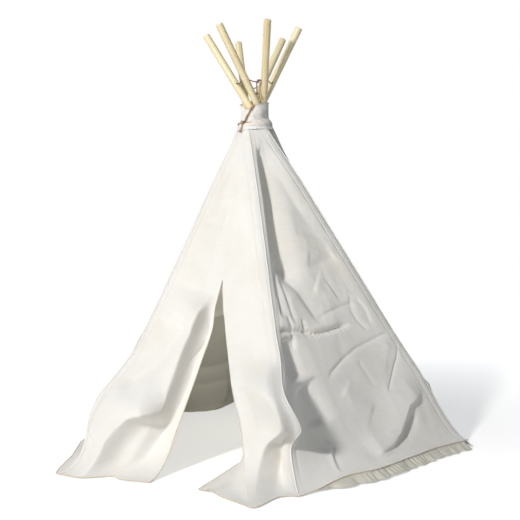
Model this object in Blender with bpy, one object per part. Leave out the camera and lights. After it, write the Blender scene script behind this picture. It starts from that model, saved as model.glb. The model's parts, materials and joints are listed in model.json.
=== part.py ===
# A children's teepee: six wooden poles that cross at the neck, and a sewn canvas cover.
# Metres, +Z up. The floor is z = 0, and the poles' crossing stands over the origin.
from functools import cache
from math import atan, atan2, cos, exp, floor, hypot, pi, radians, sin, sqrt, tan

import bmesh
import bpy
from mathutils import Matrix, Vector

# Clearances
seat_gap = 0.0003
pole_gap = 0.0006
cutter_overrun = 0.01

# Poles, each of two sections joined by a metal sleeve
pole_count = 6
pole_top_length = 0.3585
pole_radius = 0.014
pole_edge = 0.0015
lower_section_length = 0.6
foot_spread = 0.745
crossing_height = 1.262
joint_tube_length = 0.1
joint_tube_wall = 0.001

# Canvas
cloth = 0.003
sleeve_wall = 0.0016
sleeve_top_drop = 0.1
sleeve_foot_height = 0.03
cover_top_drop = 0.0905
corner_ease = 0.0016
hem_bend_height = 0.1
hem_reach = 0.085
corner_reach = 0.03
tip_reach = 0.16
side_sag = 0.012
fold_depth = 0.02
fold_width = 0.045
fold_fade_height = 0.3
seam_ease_width = 0.06
seam_flat_width = 0.028

# Door, a slit in the front side with a flap at each edge of it
door_top_height = 0.62
left_flap_dip = 0.045
left_flap_shift = 0.012
right_flap_bulge = 0.03
right_flap_edge_x = 0.075
right_flap_floor_y = 0.36
right_flap_tip_y = 0.765
right_flap_turn = radians(50)

# Gathered skirt under the hem of the right front side
skirt_height = 0.055
skirt_reach = 0.045
skirt_ripple = 0.006

# Neck, the canvas gathered round the crossing, with a rolled band and a tie
collar_rise = 0.034
collar_drop = 0.09
collar_lip = 0.004
band_radius = 0.006
tie_radius = 0.0025
tie_turn_count = 2
tie_tail = 0.03

# Cord threaded through the poles above the crossing
cord_radius = 0.0023
cord_hole_radius = 0.0032
cord_tail = 0.045
cord_wrap_count = 2

# Mesh counts
pole_side_count = 20
cloth_column_count = 6
upper_row_count = 9
door_row_count = 8
hem_row_count = 4
flap_column_count = 5
skirt_column_count = 10
skirt_row_count = 2
collar_side_count = 36
collar_row_count = 8
band_side_count = 8
hole_side_count = 10
outline_step_count = 72
helix_step_count = 12

# Shares of the cover: across a side from one pole (0) to the next (1), and of the height
slit_share = 0.55
left_hinge_share = 0.22
right_hinge_share = 5 / 6
left_edge_share = 0.415
flap_start_share = 0.3
skirt_start_share = 1 / (2 * cloth_column_count)
skirt_end_share = 0.97
hem_lift_share = 0.27
hem_draw_share = 0.6
skirt_slant_share = 0.7
left_edge_bend_share = 1.5
band_drop_share = 0.69
cord_reach_share = 0.35

smooth_angle = radians(35)
tilt = atan(foot_spread / crossing_height)
step_angle = 2 * pi / pole_count
# Neighbouring poles pass each other at the crossing at this share of its radius
twist_share = sin(tilt) ** 2 * sin(step_angle) ** 2 / (2 - 2 * cos(step_angle))
neighbour_share = cos(tilt) / sqrt(twist_share + cos(tilt) ** 2)
waist_radius = (2 * pole_radius + pole_gap) / (neighbour_share * 2 * sin(step_angle / 2))
foot_reach = crossing_height / cos(tilt)
joint_reach = foot_reach - lower_section_length
tube_bore = pole_radius + seat_gap
tube_outside = tube_bore + joint_tube_wall
sleeve_bore = tube_outside + seat_gap
sleeve_outside = sleeve_bore + sleeve_wall
side_lean = atan(foot_spread * cos(step_angle / 2) / crossing_height)
corner_share = cos(step_angle / 2) * cos(side_lean)
ridge_out = (sleeve_outside + cloth + corner_ease) / corner_share
cloth_depth = cloth / corner_share
front_angle = -pi / 2
band_height = crossing_height - collar_drop * band_drop_share

pole_names = ["front_left", "front_right", "right", "back_right", "back_left", "left"]
side_names = ["front", "right_front", "right_back", "back", "left_back", "left_front"]

# Folds of each side. A fold runs from one place to another, each a share across the side
# and a share of the crossing's height, then gives its depth and width as multiples.
fold_shares = {
    "front": [
        (0.30, 0.36, 0.06, 0.19, -0.9, 1.1),
        (0.26, 0.14, 0.14, 0.00, -1.6, 1.0),
        (0.97, 0.16, 0.84, 0.00, -1.6, 0.9),
        (0.86, 0.26, 0.76, 0.06, 1.3, 1.4),
        (0.48, 0.72, 0.43, 0.62, -0.4, 0.9),
    ],
    "right_front": [
        (0.13, 0.76, 0.15, 0.36, -1.2, 1.1),
        (0.05, 0.35, 0.60, 0.35, -0.8, 0.9),
        (0.48, 0.26, 0.92, 0.32, -0.8, 0.9),
        (0.86, 0.15, 0.50, 0.04, -1.2, 0.9),
        (0.40, 0.60, 0.75, 0.52, 0.6, 1.6),
        (0.30, 0.22, 0.55, 0.14, 0.8, 1.8),
    ],
    "right_back": [
        (0.20, 0.60, 0.42, 0.20, -0.8, 1.4),
        (0.85, 0.40, 0.60, 0.10, -0.9, 1.2),
    ],
    "back": [
        (0.26, 0.14, 0.14, 0.00, -1.2, 1.0),
        (0.20, 0.66, 0.35, 0.30, -0.7, 1.4),
        (0.80, 0.50, 0.62, 0.12, -0.9, 1.3),
    ],
    "left_back": [
        (0.15, 0.36, 0.62, 0.33, -0.8, 1.0),
        (0.80, 0.66, 0.70, 0.24, -0.7, 1.4),
        (0.35, 0.02, 0.60, 0.02, -2.5, 2.2),
    ],
    "left_front": [
        (0.45, 0.16, 0.95, 0.10, -1.2, 1.0),
        (0.25, 0.55, 0.50, 0.25, -0.7, 1.4),
        (0.75, 0.48, 0.90, 0.30, 0.5, 1.2),
    ],
}
# How far the hem spreads over the floor at each pole, in multiples of the reach there
corner_shares = [1.0, 1.0, 0.0, 1.0, 1.0, 0.0]
# Hem tips: where across the side, how wide, and how far, in shares of the tip reach; a negative one
# is a hem that is drawn in
tip_shares = {
    "front": [(right_hinge_share, 0.07, 1.0), (left_hinge_share, 0.06, 0.1)],
    "right_front": [],
    "right_back": [(0.5, 0.2, 0.15)],
    "back": [(right_hinge_share, 0.07, 1.0)],
    "left_back": [(0.33, 0.27, -1.35)],
    "left_front": [(0.7, 0.2, 0.15)],
}


def clear_scene():
    for old in list(bpy.data.objects):
        bpy.data.objects.remove(old)


def new_collection(name):
    made = bpy.data.collections.new(name)
    bpy.context.scene.collection.children.link(made)
    return made


def new_material(name, color, roughness, metallic=0.0):
    made = bpy.data.materials.new(name)
    made.use_nodes = True
    shader = made.node_tree.nodes["Principled BSDF"]
    shader.inputs["Base Color"].default_value = (*color, 1)
    shader.inputs["Roughness"].default_value = roughness
    shader.inputs["Metallic"].default_value = metallic
    return made


def finish_mesh(name, bm, material, collection, smooth=True):
    bmesh.ops.recalc_face_normals(bm, faces=bm.faces[:])
    if bm.calc_volume(signed=True) < 0:
        bmesh.ops.reverse_faces(bm, faces=bm.faces[:])
    mesh = bpy.data.meshes.new(name)
    bm.to_mesh(mesh)
    bm.free()
    made = bpy.data.objects.new(name, mesh)
    collection.objects.link(made)
    mesh.materials.append(material)
    if smooth:
        mesh.shade_smooth()
        mesh.set_sharp_from_angle(angle=smooth_angle)
    return made


def hold_by(child, parent):
    """Parents without moving: both are placed in world space first."""
    bpy.context.view_layer.update()
    child.parent = parent
    child.matrix_parent_inverse = parent.matrix_world.inverted()


def polar(radius, angle, height=0.0):
    return Vector((radius * cos(angle), radius * sin(angle), height))


def pole_angle(index):
    """The direction in which the foot of a pole points from the crossing."""
    return front_angle + (index - 0.5) * step_angle


def pole_frame(index):
    """Waist point as origin, Z up along the pole, Y along the hinge axis of the fold."""
    foot_way = polar(1, pole_angle(index))
    hinge = polar(1, pole_angle(index) + pi / 2)
    up = (Vector((0, 0, cos(tilt))) - foot_way * sin(tilt)).normalized()
    across = hinge.cross(up)
    place = Matrix((across, hinge, up)).transposed().to_4x4()
    place.translation = Vector((0, 0, crossing_height)) - hinge * waist_radius
    return place


def pole_point(index, reach):
    """A point on the pole's axis, reach metres up from its waist point."""
    return pole_frame(index) @ Vector((0, 0, reach))


def tube(name, radius, low, high, place, material, collection, bore=0.0, edge=0.0, foot=False):
    """A rod, or a tube with a bore, from low to high along Z, cut flat on the floor if it is a foot."""
    bm = bmesh.new()
    span = high - low
    bmesh.ops.create_cone(
        bm, cap_ends=bore == 0.0, segments=pole_side_count, radius1=radius, radius2=radius, depth=span
    )
    bmesh.ops.translate(bm, verts=bm.verts[:], vec=(0, 0, (low + high) / 2))
    if bore:
        walls = bm.faces[:]
        bmesh.ops.solidify(bm, geom=walls, thickness=radius - bore)
    if edge:
        middle = (low + high) / 2
        rims = [e for e in bm.edges if all(v.co.z > middle for v in e.verts)]
        rims = [e for e in rims if abs(e.verts[0].co.z - e.verts[1].co.z) < edge]
        bmesh.ops.bevel(bm, geom=rims, offset=edge, segments=2, affect="EDGES", profile=0.5)
    if foot:
        up = place.to_3x3() @ Vector((0, 0, 1))
        for vert in bm.verts:
            if vert.co.z < low + edge + seat_gap:
                world = place @ vert.co
                world -= up * (world.z / up.z)
                vert.co = place.inverted() @ world
    made = finish_mesh(name, bm, material, collection)
    made.matrix_world = place
    return made


def curve_tube(name, points, radius, material, collection, resolution=2):
    """A round cord along a list of points, made a mesh with its caps welded."""
    curve = bpy.data.curves.new(name, "CURVE")
    curve.dimensions = "3D"
    curve.bevel_depth = radius
    curve.bevel_resolution = resolution
    curve.use_fill_caps = True
    spline = curve.splines.new("POLY")
    spline.points.add(len(points) - 1)
    for slot, point in zip(spline.points, points):
        slot.co = (*point, 1)
    holder = bpy.data.objects.new(name + "_path", curve)
    collection.objects.link(holder)
    bpy.context.view_layer.update()
    evaluated = holder.evaluated_get(bpy.context.evaluated_depsgraph_get())
    mesh = bpy.data.meshes.new_from_object(evaluated)
    bpy.data.objects.remove(holder)
    bm = bmesh.new()
    bm.from_mesh(mesh)
    bpy.data.meshes.remove(mesh)
    bmesh.ops.remove_doubles(bm, verts=bm.verts[:], dist=radius / 100)
    return finish_mesh(name, bm, material, collection)


def ease(share):
    share = min(max(share, 0.0), 1.0)
    return share * share * (3 - 2 * share)


def cover_radius(height):
    """Distance from the centre line to the cover's corner seam at a height."""
    return hypot(waist_radius, (crossing_height - height) * tan(tilt)) + ridge_out


def cover_turn(height):
    """The slanting poles carry the cover's corners round a little near the neck."""
    return -atan2(waist_radius, (crossing_height - height) * tan(tilt))


def fold_out(side, across, height):
    """Outward move of the cloth: a shallow sag plus its folds, none at the seams or the neck."""
    radius = cover_radius(height)
    total = -side_sag * sin(pi * across)
    for start_u, start_z, end_u, end_z, depth_share, width_share in fold_shares[side_names[side]]:
        way = Vector(((end_u - start_u) * radius, (end_z - start_z) * crossing_height))
        here = Vector(((across - start_u) * radius, height - start_z * crossing_height))
        along = min(max(here.dot(way) / way.length_squared, 0.0), 1.0)
        off = (here - along * way).length / (width_share * fold_width)
        total += depth_share * fold_depth * exp(-off * off)
    sides = [(share * radius - seam_flat_width) / seam_ease_width for share in (across, 1 - across)]
    window = ease(sides[0]) * ease(sides[1])
    neck = ease((crossing_height - cover_top_drop - height) / fold_fade_height)
    return total * window * neck


def hem_spread(side, across):
    """How far the hem lies out over the floor, from one corner's reach to the next."""
    shares = [corner_shares[(side + k) % pole_count] for k in (0, 1)]
    ends = [corner_reach + share * (hem_reach - corner_reach) for share in shares]
    spread = ends[0] + (ends[1] - ends[0]) * ease(across)
    for middle, width, share in tip_shares[side_names[side]]:
        spread += share * tip_reach * exp(-(((across - middle) / width) ** 2))
    return spread


def hem_lift(side, across):
    """The right front side ends above the floor, over its gathered skirt."""
    if side_names[side] != "right_front":
        return 0.0
    return skirt_height * ease(across / hem_lift_share)


total_row_count = upper_row_count + door_row_count + hem_row_count
cover_top = crossing_height - cover_top_drop
door_start = upper_row_count / total_row_count
floor_height = cloth + seat_gap


def row_height(down):
    """Height of the cover and progress along the bend of its hem, for a share of its rows."""
    row = down * total_row_count
    if row <= upper_row_count:
        return cover_top + (door_top_height - cover_top) * row / upper_row_count, 0.0
    row -= upper_row_count
    if row <= door_row_count:
        return door_top_height + (hem_bend_height - door_top_height) * row / door_row_count, 0.0
    return hem_bend_height, (row - door_row_count) / hem_row_count


def cover_point(side, across, down, inner):
    """A point on the outer (0) or inner (1) skin of the cover."""
    height, bend = row_height(down)
    lift = hem_lift(side, across)
    flare = hem_spread(side, across) * (1 - cos(bend * pi / 2))
    lie = bend * bend * (1 - lift / skirt_height)
    flare *= 1 - hem_draw_share * lift / skirt_height
    height -= (hem_bend_height - floor_height - lift) * sin(bend * pi / 2)
    radius = cover_radius(height) + flare - inner * cloth_depth * (1 - lie)
    start = pole_angle(side) + cover_turn(height)
    point = polar(radius, start).lerp(polar(radius, start + step_angle), across)
    point += polar(1, front_angle + side * step_angle) * fold_out(side, across, height) * (1 - lie)
    point.z = height - inner * cloth * lie
    return point


def cloth_solid(name, place_point, columns, rows, material, collection):
    """A flat unit grid is given its thickness, and then every point is put in its place."""
    bm = bmesh.new()
    bmesh.ops.create_grid(bm, x_segments=columns, y_segments=rows, size=0.5)
    bmesh.ops.solidify(bm, geom=bm.faces[:], thickness=1)
    for vert in bm.verts:
        inner = 1.0 if abs(vert.co.z) > 0.5 else 0.0
        vert.co = place_point(vert.co.x + 0.5, 0.5 - vert.co.y, inner)
    return finish_mesh(name, bm, material, collection)


def gap_share(height):
    """Half the gap between two panels, as a share of the side's width at a height."""
    return seat_gap / cover_radius(height)


def hinge_share(door_side, height):
    """Where the front panel ends and the flap begins, as a share across the front."""
    fall = max(door_top_height - height, 0.0) / door_top_height
    foot = left_hinge_share if door_side == "left" else right_hinge_share
    return slit_share + (foot - slit_share) * fall


def panel(side, half, material, collection):
    """One half of a side of the cover, from its pole to the side's middle."""
    name = f"panel_{side_names[side]}_{half + 1}"
    front = side_names[side] == "front"

    def place_point(along, down, inner):
        height, bend = row_height(down)
        gap = gap_share(height)
        middle = 0.5
        if front:
            middle = hinge_share("right" if half else "left", height - bend * hem_bend_height)
        if half:
            across = middle + gap + (1 - middle - 2 * gap) * along
        else:
            across = gap + (middle - 2 * gap) * along
        return cover_point(side, across, down, inner)

    return cloth_solid(name, place_point, cloth_column_count, total_row_count, material, collection)


def flap_row(down):
    """Share of the cover's rows for a row of a flap, whose first row starts just under the slit's top."""
    rows = door_row_count + hem_row_count
    row = down * rows
    if row < 1:
        row = flap_start_share + (1 - flap_start_share) * row
    return (upper_row_count + row) / total_row_count


def left_flap_point(along, down, inner):
    """From the fold line at the left to the free edge, with a deep dip between them."""
    down = flap_row(down)
    height, bend = row_height(down)
    low = height - bend * hem_bend_height
    fall = (door_top_height - low) / door_top_height
    gap = gap_share(height)
    start = hinge_share("left", low) + gap
    end = slit_share + (left_edge_share - slit_share) * fall ** left_edge_bend_share - gap
    point = cover_point(0, start + (end - start) * along, down, inner)
    dip = -left_flap_dip * sin(pi * along) * sin(pi * min(fall, 0.5)) * (1 - bend)
    point += polar(1, front_angle) * (dip + left_flap_shift * along * fall * (1 - bend))
    return point


def right_flap_point(along, down, inner):
    """From the fold line at the right to a free edge that hangs straight, then lies out over the floor."""
    down = flap_row(down)
    height, bend = row_height(down)
    low = height - bend * hem_bend_height
    fall = (door_top_height - height) / (door_top_height - hem_bend_height)
    gap = gap_share(height)
    hinge = cover_point(0, hinge_share("right", low) - gap, down, 1)
    slit = cover_point(0, slit_share + gap, door_start, 1)
    edge = slit.lerp(Vector((right_flap_edge_x, -right_flap_floor_y, seat_gap)), fall)
    edge.y += (right_flap_floor_y - right_flap_tip_y) * bend
    point = hinge.lerp(edge, along)
    bulge = right_flap_bulge * sin(pi * along) * sin(pi * fall / 2) * (1 - bend)
    facing = polar(1 - bend, front_angle - right_flap_turn) + Vector((0, 0, bend))
    return point + polar(1, front_angle) * bulge + (1 - inner) * cloth * facing.normalized()


def flap_frame(door_side):
    """The slit's top as origin, Z down along the fold line about which a flap turns."""
    bend_share = (upper_row_count + door_row_count) / total_row_count
    top = cover_point(0, slit_share, door_start, 0)
    fold = cover_point(0, hinge_share(door_side, hem_bend_height), bend_share, 0)
    place = (fold - top).to_track_quat("Z", "Y").to_matrix().to_4x4()
    place.translation = top
    return place


def door_flap(door_side, place_point, carrier, material, collection):
    """A flap, held by an empty on its fold line, which the pole beside it carries."""
    hinge = bpy.data.objects.new("hinge_flap_" + door_side, None)
    collection.objects.link(hinge)
    hinge.matrix_world = flap_frame(door_side)
    hold_by(hinge, carrier)
    name = "door_flap_" + door_side
    rows = door_row_count + hem_row_count
    flap = cloth_solid(name, place_point, flap_column_count, rows, material, collection)
    hold_by(flap, hinge)


def right_front_hem(across, inner):
    """A point on the edge of the right front side, straight between the columns of its two panels."""
    column = across * 2 * cloth_column_count
    ends = [(floor(column) + k) / (2 * cloth_column_count) for k in (0, 1)]
    last, following = (cover_point(1, end, 1, inner) for end in ends)
    return last.lerp(following, column - floor(column))


def skirt_point(half):
    """A strip from just under the right front hem down and out to the floor, rippled along its edge."""
    def place_point(along, down, inner):
        ends = (skirt_start_share, 0.5) if half == 0 else (0.5, skirt_end_share)
        gap = gap_share(0.0)
        across = ends[0] + gap + (ends[1] - ends[0] - 2 * gap) * along
        hem = right_front_hem(across, 0.5)
        low = right_front_hem(across, 1.0).z - seat_gap
        ripple = skirt_ripple * cos(pi * skirt_column_count * along) * down
        way = polar(1, front_angle + step_angle)
        height = low * (1 - down) + floor_height * down
        point = hem + way * (skirt_reach * down + ripple - inner * cloth * skirt_slant_share)
        point.z = height - inner * cloth * skirt_slant_share
        return point
    return place_point


def envelope(height):
    """The farthest reach of a slanted pole's oval section from the centre line at a height."""
    rise = (crossing_height - height) * tan(tilt)
    wide = pole_radius / cos(tilt)
    turns = [2 * pi * k / outline_step_count for k in range(outline_step_count)]
    return max(hypot(rise + wide * cos(a), waist_radius + pole_radius * sin(a)) for a in turns)


@cache
def collar_profile():
    """Inner reach and height of each row of the collar, from its top down, seated on the poles."""
    facet = cos(pi / collar_side_count)
    top = crossing_height + collar_rise
    heights = [top - (collar_rise + collar_drop) * k / collar_row_count for k in range(collar_row_count + 1)]
    return [Vector(((envelope(z) + seat_gap) / facet, 0, z)) for z in heights]


def collar(material, collection):
    """A waisted ring of canvas that seats on the six poles, turned from its profile."""
    bm = bmesh.new()
    inside = collar_profile()
    outside = [p + Vector((cloth, 0, 0)) for p in inside]
    for lip in (outside[0], outside[-1]):
        lip.x += collar_lip
    ring = [bm.verts.new(p) for p in outside + inside[::-1]]
    edges = [bm.edges.new((a, b)) for a, b in zip(ring, ring[1:] + ring[:1])]
    bmesh.ops.spin(
        bm, geom=ring + edges, cent=(0, 0, 0), axis=(0, 0, 1), angle=2 * pi, steps=collar_side_count,
        use_merge=True,
    )
    bmesh.ops.remove_doubles(bm, verts=bm.verts[:], dist=seat_gap / 10)
    return finish_mesh("neck_collar", bm, material, collection)


def collar_outside(height):
    """The collar's outer reach at a height, straight between the rows of its profile."""
    rows = collar_profile()
    for upper, lower in zip(rows, rows[1:]):
        if lower.z <= height:
            break
    share = (upper.z - height) / (upper.z - lower.z)
    return upper.x + (lower.x - upper.x) * share + cloth


def roll_reach(height, radius):
    """How far from the centre line a roll lies when it rests against the collar."""
    room = radius + seat_gap
    lifts = [room * (2 * k / outline_step_count - 1) for k in range(1, outline_step_count)]
    return max(collar_outside(height + lift) + sqrt(room * room - lift * lift) for lift in lifts)


def neck_band(material, collection):
    """The rolled strip of canvas round the lower part of the collar."""
    bm = bmesh.new()
    circle = bmesh.ops.create_circle(bm, segments=band_side_count, radius=band_radius)["verts"]
    bmesh.ops.rotate(bm, verts=circle, cent=(0, 0, 0), matrix=Matrix.Rotation(pi / 2, 3, "X"))
    bmesh.ops.translate(bm, verts=circle, vec=(roll_reach(band_height, band_radius), 0, band_height))
    edges = list({e for v in circle for e in v.link_edges})
    bmesh.ops.spin(
        bm, geom=circle + edges, cent=(0, 0, 0), axis=(0, 0, 1), angle=2 * pi, steps=collar_side_count,
        use_merge=True,
    )
    bmesh.ops.remove_doubles(bm, verts=bm.verts[:], dist=seat_gap / 10)
    return finish_mesh("neck_band", bm, material, collection)


def neck_tie(material, collection):
    """A cord wound round the collar above the band, whose end hangs over the band at the front left."""
    start_angle = front_angle - step_angle / 3
    pitch = 2 * tie_radius + 2 * seat_gap
    low = band_height + band_radius + tie_radius + seat_gap
    steps = tie_turn_count * 2 * helix_step_count
    points = []
    for k in range(steps + 1):
        turn = k / (2 * helix_step_count)
        height = low + pitch * turn
        reach = roll_reach(height, tie_radius) / cos(pi / (2 * helix_step_count))
        points.append(polar(reach, start_angle + 2 * pi * turn, height))
    out = polar(1, start_angle)
    beside = polar(tie_radius, start_angle + pi / 2)
    over = roll_reach(band_height, band_radius) + band_radius + tie_radius + seat_gap - reach
    end = points[-1]
    points.append(end + out * over / 2 + beside)
    for fall in (0.1, 0.5, 1.0):
        points.append(end + out * over + 2 * beside - Vector((0, 0, tie_tail * fall)))
    return curve_tube("neck_tie", points, tie_radius, material, collection, 1)


def cord_hole(index):
    """Where the cord goes through a pole, and the way it runs there."""
    point = pole_point(index, pole_top_length * cord_reach_share)
    angle = atan2(point.y, point.x)
    return point, polar(1, angle + pi / 2)


def cord_cutter(index, collection):
    point, way = cord_hole(index)
    bm = bmesh.new()
    bmesh.ops.create_cone(
        bm, cap_ends=True, segments=hole_side_count, radius1=cord_hole_radius, radius2=cord_hole_radius,
        depth=2 * (pole_radius / cos(tilt) + cutter_overrun),
    )
    place = way.to_track_quat("Z", "Y").to_matrix().to_4x4()
    place.translation = point
    bmesh.ops.transform(bm, verts=bm.verts[:], matrix=place)
    mesh = bpy.data.meshes.new("cord_hole")
    bm.to_mesh(mesh)
    bm.free()
    cutter = bpy.data.objects.new("cord_hole_" + pole_names[index], mesh)
    collection.objects.link(cutter)
    cutter.hide_render = True
    cutter.display_type = "WIRE"
    return cutter


def cord_piece(index, material, collection):
    """The stretch of the cord that belongs to one pole: through its hole and half way to each side."""
    point, way = cord_hole(index)
    last, last_way = cord_hole((index - 1) % pole_count)
    following, next_way = cord_hole((index + 1) % pole_count)
    inside = pole_radius / cos(tilt) + cord_radius
    enter = point - way * inside
    leave = point + way * inside
    before = (enter + last + last_way * inside) / 2
    after = (leave + following - next_way * inside) / 2
    before += (enter - before).normalized() * seat_gap / 2
    after += (leave - after).normalized() * seat_gap / 2
    points = [before, enter, leave, after]
    return curve_tube("cord_" + pole_names[index], points, cord_radius, material, collection)


def cord_tail_piece(index, material, collection):
    """The cord's end, wound round the loop beside a pole and hanging from it."""
    point, way = cord_hole(index)
    last, last_way = cord_hole((index - 1) % pole_count)
    inside = pole_radius / cos(tilt) + cord_radius
    enter = point - way * inside
    before = last + last_way * inside
    along = (before - enter).normalized()
    outward = along.cross(Vector((0, 0, 1))).normalized()
    reach = (2 * cord_radius + seat_gap) / cos(pi / helix_step_count)
    pitch = 2 * cord_radius + 2 * seat_gap
    points = []
    for k in range(cord_wrap_count * helix_step_count + 1):
        turn = k / helix_step_count
        spot = enter + along * (2 * cord_radius + pitch * turn)
        spot += outward * reach * cos(2 * pi * turn)
        spot.z += reach * sin(2 * pi * turn)
        points.append(spot)
    end = points[-1]
    for fall in (0.25, 0.5, 0.75, 1.0):
        points.append(end + outward * cord_radius * fall + Vector((0, 0, -cord_tail * fall)))
    return curve_tube("cord_tail", points, cord_radius, material, collection, 1)


def build():
    clear_scene()
    parts = new_collection("kids_teepee")
    cutters = new_collection("teepee_cutters")
    wood = new_material("pole_wood", (0.80, 0.62, 0.38), 0.55)
    metal = new_material("joint_metal", (0.74, 0.74, 0.75), 0.35, 0.9)
    canvas = new_material("canvas", (0.86, 0.84, 0.78), 0.9)
    lining = new_material("sleeve_canvas", (0.82, 0.80, 0.73), 0.9)
    dark_cord = new_material("dark_cord", (0.25, 0.15, 0.12), 0.85)
    tie_cord = new_material("tie_cord", (0.42, 0.27, 0.15), 0.85)

    holders = []
    for index, name in enumerate(pole_names):
        place = pole_frame(index)
        holder = bpy.data.objects.new("hinge_" + name, None)
        parts.objects.link(holder)
        holder.matrix_world = place
        holders.append(holder)
        lower = tube(
            "pole_lower_" + name, pole_radius, -foot_reach, -joint_reach - seat_gap / 2, place, wood,
            parts, foot=True,
        )
        upper = tube(
            "pole_upper_" + name, pole_radius, -joint_reach + seat_gap / 2, pole_top_length, place, wood,
            parts, edge=pole_edge,
        )
        hole = upper.modifiers.new("cord_hole", "BOOLEAN")
        hole.object = cord_cutter(index, cutters)
        joint_tube = tube(
            "pole_joint_" + name, tube_outside, -joint_reach - joint_tube_length / 2,
            -joint_reach + joint_tube_length / 2, place, metal, parts,
            bore=tube_bore / cos(pi / pole_side_count),
        )
        sleeve = tube(
            "pole_sleeve_" + name, sleeve_outside, -foot_reach + sleeve_foot_height / cos(tilt),
            -sleeve_top_drop / cos(tilt), place, lining, parts, bore=sleeve_bore / cos(pi / pole_side_count),
        )
        cord = cord_piece(index, dark_cord, parts)
        for piece in (lower, upper, joint_tube, sleeve, cord):
            hold_by(piece, holder)

    for side in range(pole_count):
        for half in (0, 1):
            piece = panel(side, half, canvas, parts)
            hold_by(piece, holders[(side + half) % pole_count])
    door_flap("left", left_flap_point, holders[0], canvas, parts)
    door_flap("right", right_flap_point, holders[1], canvas, parts)
    for half in (0, 1):
        name = f"hem_skirt_{half + 1}"
        skirt = cloth_solid(name, skirt_point(half), skirt_column_count, skirt_row_count, canvas, parts)
        hold_by(skirt, holders[1 + half])
    hold_by(cord_tail_piece(4, dark_cord, parts), holders[4])

    collar(canvas, parts)
    neck_band(canvas, parts)
    neck_tie(tie_cord, parts)


build()
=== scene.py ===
# Looks of the children's teepee: canvas, wood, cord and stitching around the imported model.
import json
from math import atan2, cos, hypot, pi, radians, sin, tan

import bpy
import numpy as np
from mathutils import Matrix, Vector


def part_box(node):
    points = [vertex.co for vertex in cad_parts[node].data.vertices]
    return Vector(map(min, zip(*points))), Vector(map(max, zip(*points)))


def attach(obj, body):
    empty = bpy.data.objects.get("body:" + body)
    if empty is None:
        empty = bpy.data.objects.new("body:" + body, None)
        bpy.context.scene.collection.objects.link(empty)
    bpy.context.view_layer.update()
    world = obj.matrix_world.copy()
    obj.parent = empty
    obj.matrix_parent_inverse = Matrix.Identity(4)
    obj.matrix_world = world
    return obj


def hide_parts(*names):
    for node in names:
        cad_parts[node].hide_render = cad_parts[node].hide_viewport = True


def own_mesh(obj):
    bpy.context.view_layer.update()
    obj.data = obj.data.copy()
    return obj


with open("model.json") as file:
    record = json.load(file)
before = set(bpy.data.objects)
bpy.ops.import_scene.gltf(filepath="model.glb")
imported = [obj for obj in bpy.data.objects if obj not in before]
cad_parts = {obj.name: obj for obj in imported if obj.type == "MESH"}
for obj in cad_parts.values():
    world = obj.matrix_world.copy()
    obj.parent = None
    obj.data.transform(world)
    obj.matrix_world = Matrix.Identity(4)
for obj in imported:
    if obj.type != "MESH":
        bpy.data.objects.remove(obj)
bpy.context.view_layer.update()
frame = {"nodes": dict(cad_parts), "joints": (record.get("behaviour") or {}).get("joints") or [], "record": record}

# Main geometry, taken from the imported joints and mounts
joints = {j["name"]: j for j in frame["joints"]}
mounts = {m["name"]: m for m in frame["record"]["mounts"]}
poleNames = ["front_left", "front_right", "right", "back_right", "back_left", "left"]
sideNames = ["front", "right_front", "right_back", "back", "left_back", "left_front"]
sideCount = len(poleNames)
stepAngle = 2 * pi / sideCount
frontAngle = -pi / 2

waists = np.array([joints["fold_" + n]["pos_m"] for n in poleNames])      # each pole's point at the crossing
hinges = np.array([joints["fold_" + n]["axis"] for n in poleNames])       # the axis about which it folds
feet = np.array([mounts["foot_" + n]["pos_m"] for n in poleNames])
footReach = float(np.linalg.norm((waists - feet)[0]))
poleWays = (waists - feet) / footReach                                    # unit vectors up along the poles
acrossWays = np.cross(hinges, poleWays)
crossingHeight = float(waists[0][2])
waistRadius = hypot(waists[0][0], waists[0][1])
tilt = atan2(hypot(*poleWays[0][:2]), poleWays[0][2])

# The cover's lengths in metres, its shares across a side and of the hem, and the counts of its grids
cs = dict(
    thickness=0.0012, ridgeOut=0.0263, neckRidgeOut=0.0198, neckFrom=0.30, seamRound=0.0195, floorGap=0.0028,
    coverTop=1.2015, doorTop=0.62, hemBend=0.10, hemReach=0.085, cornerReach=0.03, tipReach=0.16,
    sag=0.012, sagFade=0.3, foldFade=0.12, flatWidth=0.028,
    slit=0.55, leftHinge=0.22, rightHinge=5 / 6, leftEdge=0.415, leftEdgeBow=0.055,
    skirtHeight=0.024, liftShare=0.27, gatherRise=0.0010, gatherPitch=0.0026, floorRipple=0.0015,
    foldEnd=0.16, groove=0.0016, grooveWidth=0.0035, pucker=0.0018, puckerPitch=0.0026, puckerWidth=0.016,
    meetStep=0.004, wave=0.0030, smallWave=0.0018, drag=0.0010, crush=0.0015, fineCrush=0.0005,
    columns=60, fineColumns=110, topRows=110, doorRows=120, hemRows=22,
)


# small array helpers

# Smooth step: 3x^2 - 2x^3 between 0 and 1, flat outside.
def ease(x):
    x = np.clip(x, 0.0, 1.0)
    return x * x * (3 - 2 * x)


# A bell: one in the middle, falling off as the square of the distance in widths.
def bell(off, width=1.0):
    return np.exp(-(off / width) ** 2)


def unit(v):
    return v / np.maximum(np.linalg.norm(v, axis=-1, keepdims=True), 1e-12)


# The level unit vector at an angle.
def levelWay(angle):
    return np.array([cos(angle), sin(angle), 0.0])


# Evenly spaced angles, a full turn in all.
def turnsOf(count):
    return 2 * pi * np.arange(count) / count


# Points at a radius and an angle round the centre line, at a height.
def polar(radius, angle, height):
    radius, angle, height = np.broadcast_arrays(radius, angle, height)
    return np.stack([radius * np.cos(angle), radius * np.sin(angle), height], -1)


# Lengths from the start of a path, or of each row of a grid, to its points: the running sum of the steps.
def runAlong(points):
    steps = np.linalg.norm(np.diff(points, axis=-2), axis=-1)
    return np.concatenate([np.zeros(steps.shape[:-1] + (1,)), np.cumsum(steps, axis=-1)], axis=-1)


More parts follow.
